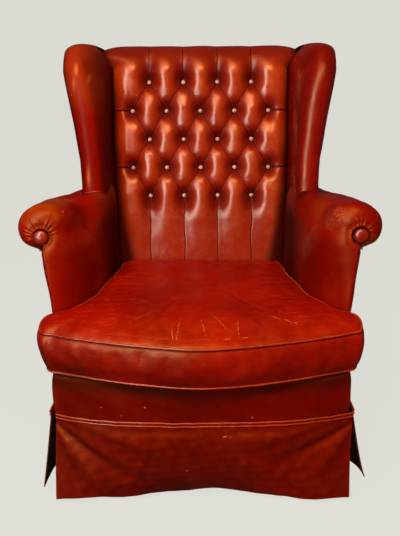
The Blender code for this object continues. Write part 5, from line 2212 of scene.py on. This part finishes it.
def hides(effects: Effects) -> dict[str, Material]:
    """Builds every leather that the chair is dressed in.

    Args:
        effects: the shared effects.

    Returns:
        The materials, each by its piece's name.
    """
    warm = (1.0, 0.44, 0.08)
    arm = {"roughness": 0.38, "specular": 0.20, "specular_tint": warm, "dull_share": 0.90}
    upright = {"roughness": 0.44, "specular_tint": warm, "mark_scale": (1.0, 0.04, 1.0)}
    leathers = {
        "back": Hide(
            "back hide", base=(0.226, 0.0056, 0.0003), deep=(0.18, 0.0026, 0.0002),
            rubbed=(0.36, 0.034, 0.0012), grime=(0.014, 0.0004, 0.0002), roughness=0.27, specular=0.57,
            crack_spread=0.03, tufted=True, blotch=0.2,
        ),
        "right wing": Hide(
            "wing hide", base=(0.224, 0.0024, 0.0001), rubbed=(0.40, 0.026, 0.001), roughness=0.28,
            specular=0.38, specular_tint=(1.0, 0.42, 0.16),
        ),
        # The left wing's base is darker than the right's, as painted shade, and its lighter colour is the
        # colour of its painted glints.
        "left wing": Hide(
            "left wing hide", base=(0.192, 0.0026, 0.0001), deep=(0.148, 0.0018, 0.0001),
            rubbed=(0.52, 0.105, 0.016), rubbed_share=0.95, blotch=0.2, roughness=0.36, specular=0.04,
        ),
        "scroll": Hide(
            "scroll button hide", base=(0.25, 0.006, 0.001), rubbed=(0.42, 0.05, 0.01), roughness=0.26,
            specular=0.7, specular_tint=(1.0, 0.6, 0.4),
        ),
        # The left arm's base is lighter than the right's, as painted light from the left.
        "left arm": Hide(
            "left arm hide", base=(0.268, 0.0034, 0.0002), rubbed=(0.28, 0.038, 0.001),
            scratches=(
                Scratch((-0.323, -0.205, 0.660), (-0.306, -0.190, 0.679), 0.0016),
                Scratch((-0.292, -0.205, 0.664), (-0.2915, -0.212, 0.636), 0.0015),
                Scratch((-0.299, -0.215, 0.642), (-0.268, -0.190, 0.621), 0.0014),
                Scratch((-0.300, -0.215, 0.6215), (-0.266, -0.185, 0.6205), 0.0014),
            ),
            **arm,
        ),
        # The right arm's lighter colour is golden for the highlight painted on its roll.
        "right arm": Hide(
            "right arm hide", base=(0.222, 0.0022, 0.0002), rubbed=(0.33, 0.066, 0.001),
            scratches=(
                Scratch((0.282, -0.205, 0.536), (0.304, -0.210, 0.523), 0.0017),
                Scratch((0.262, -0.185, 0.625), (0.285, -0.205, 0.618), 0.0014),
            ),
            crack_scale=210.0, crack_patches=(Patch((0.296, -0.195, 0.655), 0.055),), **arm,
        ),
        "seat": Hide(
            "seat hide", base=(0.262, 0.0028, 0.0002), rubbed=(0.38, 0.028, 0.001),
            pale=(0.58, 0.13, 0.035), roughness=0.40, specular=0.25, specular_tint=(1.0, 0.46, 0.12),
            dull_share=0.75, crease_stretch=(0.45, 1.3, 1.0), crease_scale=38.0, crease_tint=0.34,
            crease_depth=0.0005, crease_share=0.30, crack_scale=46.0, crack_spread=0.035,
            scratches=(
                Scratch((-0.0475, -0.330, 0.455), (-0.053, -0.405, 0.445), 0.0012),
                Scratch((-0.052, -0.405, 0.425), (-0.049, -0.405, 0.395), 0.0013),
                Scratch((0.000, -0.325, 0.455), (0.011, -0.385, 0.452), 0.0013),
                Scratch((0.079, -0.325, 0.455), (0.081, -0.400, 0.445), 0.0012),
                Scratch((0.081, -0.405, 0.428), (0.076, -0.405, 0.392), 0.0013),
                Scratch((-0.064, -0.345, 0.455), (-0.060, -0.395, 0.448), 0.0012),
                Scratch((0.020, -0.300, 0.455), (0.055, -0.360, 0.453), 0.0012),
                Scratch((0.040, -0.390, 0.448), (0.120, -0.372, 0.448), 0.0012),
                Scratch((-0.110, -0.290, 0.455), (-0.160, -0.330, 0.452), 0.0012),
                Scratch((0.150, -0.300, 0.454), (0.215, -0.330, 0.450), 0.0012),
            ),
            mark_scale=(1.0, 1.0, 0.12),
        ),
        # The band's base is darker than the skirt's, as painted shadow under the cushion.
        "border": Hide(
            "border hide", base=(0.132, 0.0011, 0.0001), deep=(0.112, 0.0009, 0.0001), specular=0.12,
            speck_share=0.0, **upright,
            scratches=scuffs(
                -0.37, (-0.228, 0.261, 0.003, -0.001), (-0.1815, 0.2436, 0.003, -0.001),
                (-0.128, 0.266, 0.003, -0.001), (0.1115, 0.2387, 0.003, -0.001), width=0.0020,
            ),
        ),
        "skirt": Hide(
            "skirt hide", base=(0.168, 0.0026, 0.0002), deep=(0.122, 0.0016, 0.0002), specular=0.22,
            speck_share=0.06, **upright,
            scratches=scuffs(
                -0.39, (0.048, 0.1935, 0.008, 0.001), (0.062, 0.1920, 0.006, 0.001),
                (0.1935, 0.190, 0.003, 0.001), (0.222, 0.154, 0.003, 0.001), (0.306, 0.130, 0.004, 0.001),
                (-0.040, 0.0935, 0.006, 0.001), (-0.010, 0.095, 0.003, 0.001), (0.084, 0.094, 0.005, 0.001),
                width=0.0019,
            ),
        ),
        "panel": Hide("panel hide", roughness=0.48, specular=0.14, specular_tint=warm),
        "welt": Hide(
            "welt hide", base=(0.28, 0.010, 0.001), deep=(0.20, 0.004, 0.0005), rubbed=(0.42, 0.05, 0.006)
        ),
        "button": Hide(
            "button hide", base=(0.36, 0.10, 0.055), deep=(0.26, 0.05, 0.025), rubbed=(0.50, 0.20, 0.13),
            grime=(0.05, 0.004, 0.002), specular_tint=(1.0, 0.8, 0.7),
        ),
        # A dark brown flesh side, darkened further as painted shade for the inside of the flaps.
        "flesh": Hide(
            "flesh side", base=(0.050, 0.018, 0.010), deep=(0.03, 0.010, 0.006), roughness=0.9, specular=0.2
        ),
    }
    return {key: leather.material(effects) for key, leather in leathers.items()}


def main() -> None:
    """Builds the chair's visible model and its studio."""
    logging.basicConfig(level=logging.INFO, format="%(name)s %(message)s")
    hide = hides(Effects())
    back = InsideBack()
    back.build(hide["back"])
    BackButtons().build(back, hide["button"])
    for side in Side:
        wing = Wing(side)
        wing.build(hide[f"{side.word} wing"])
        arm = Arm(side)
        wing.seam(arm.build(hide[f"{side.word} arm"]), hide["welt"])
        ScrollButton(side).build(arm, hide["scroll"])
    SeatCushion().build(hide["seat"], hide["welt"])
    FrontBorder().build(hide["border"])
    Skirt().build(hide["skirt"], hide["flesh"], hide["welt"])
    panels = OuterPanels()
    panels.back_panel(hide["panel"])
    for side in Side:
        panels.arm_panel(side, hide["panel"])
    sawn, stained = ((0.42, 0.27, 0.13), (0.25, 0.14, 0.06)), ((0.060, 0.026, 0.012), (0.030, 0.012, 0.006))
    dress_frame({
        "frame": wood_material("sawn oak", *sawn, 0.65, (1.0, 0.1, 1.0)),
        "stained": wood_material("stained oak", *stained, 0.35, (1.0, 1.0, 0.08)),
        "spring_steel": steel_material(),
        "deck_cloth": woven_material(),
    })
    Studio().build()


if __name__ == "__main__":
    main()
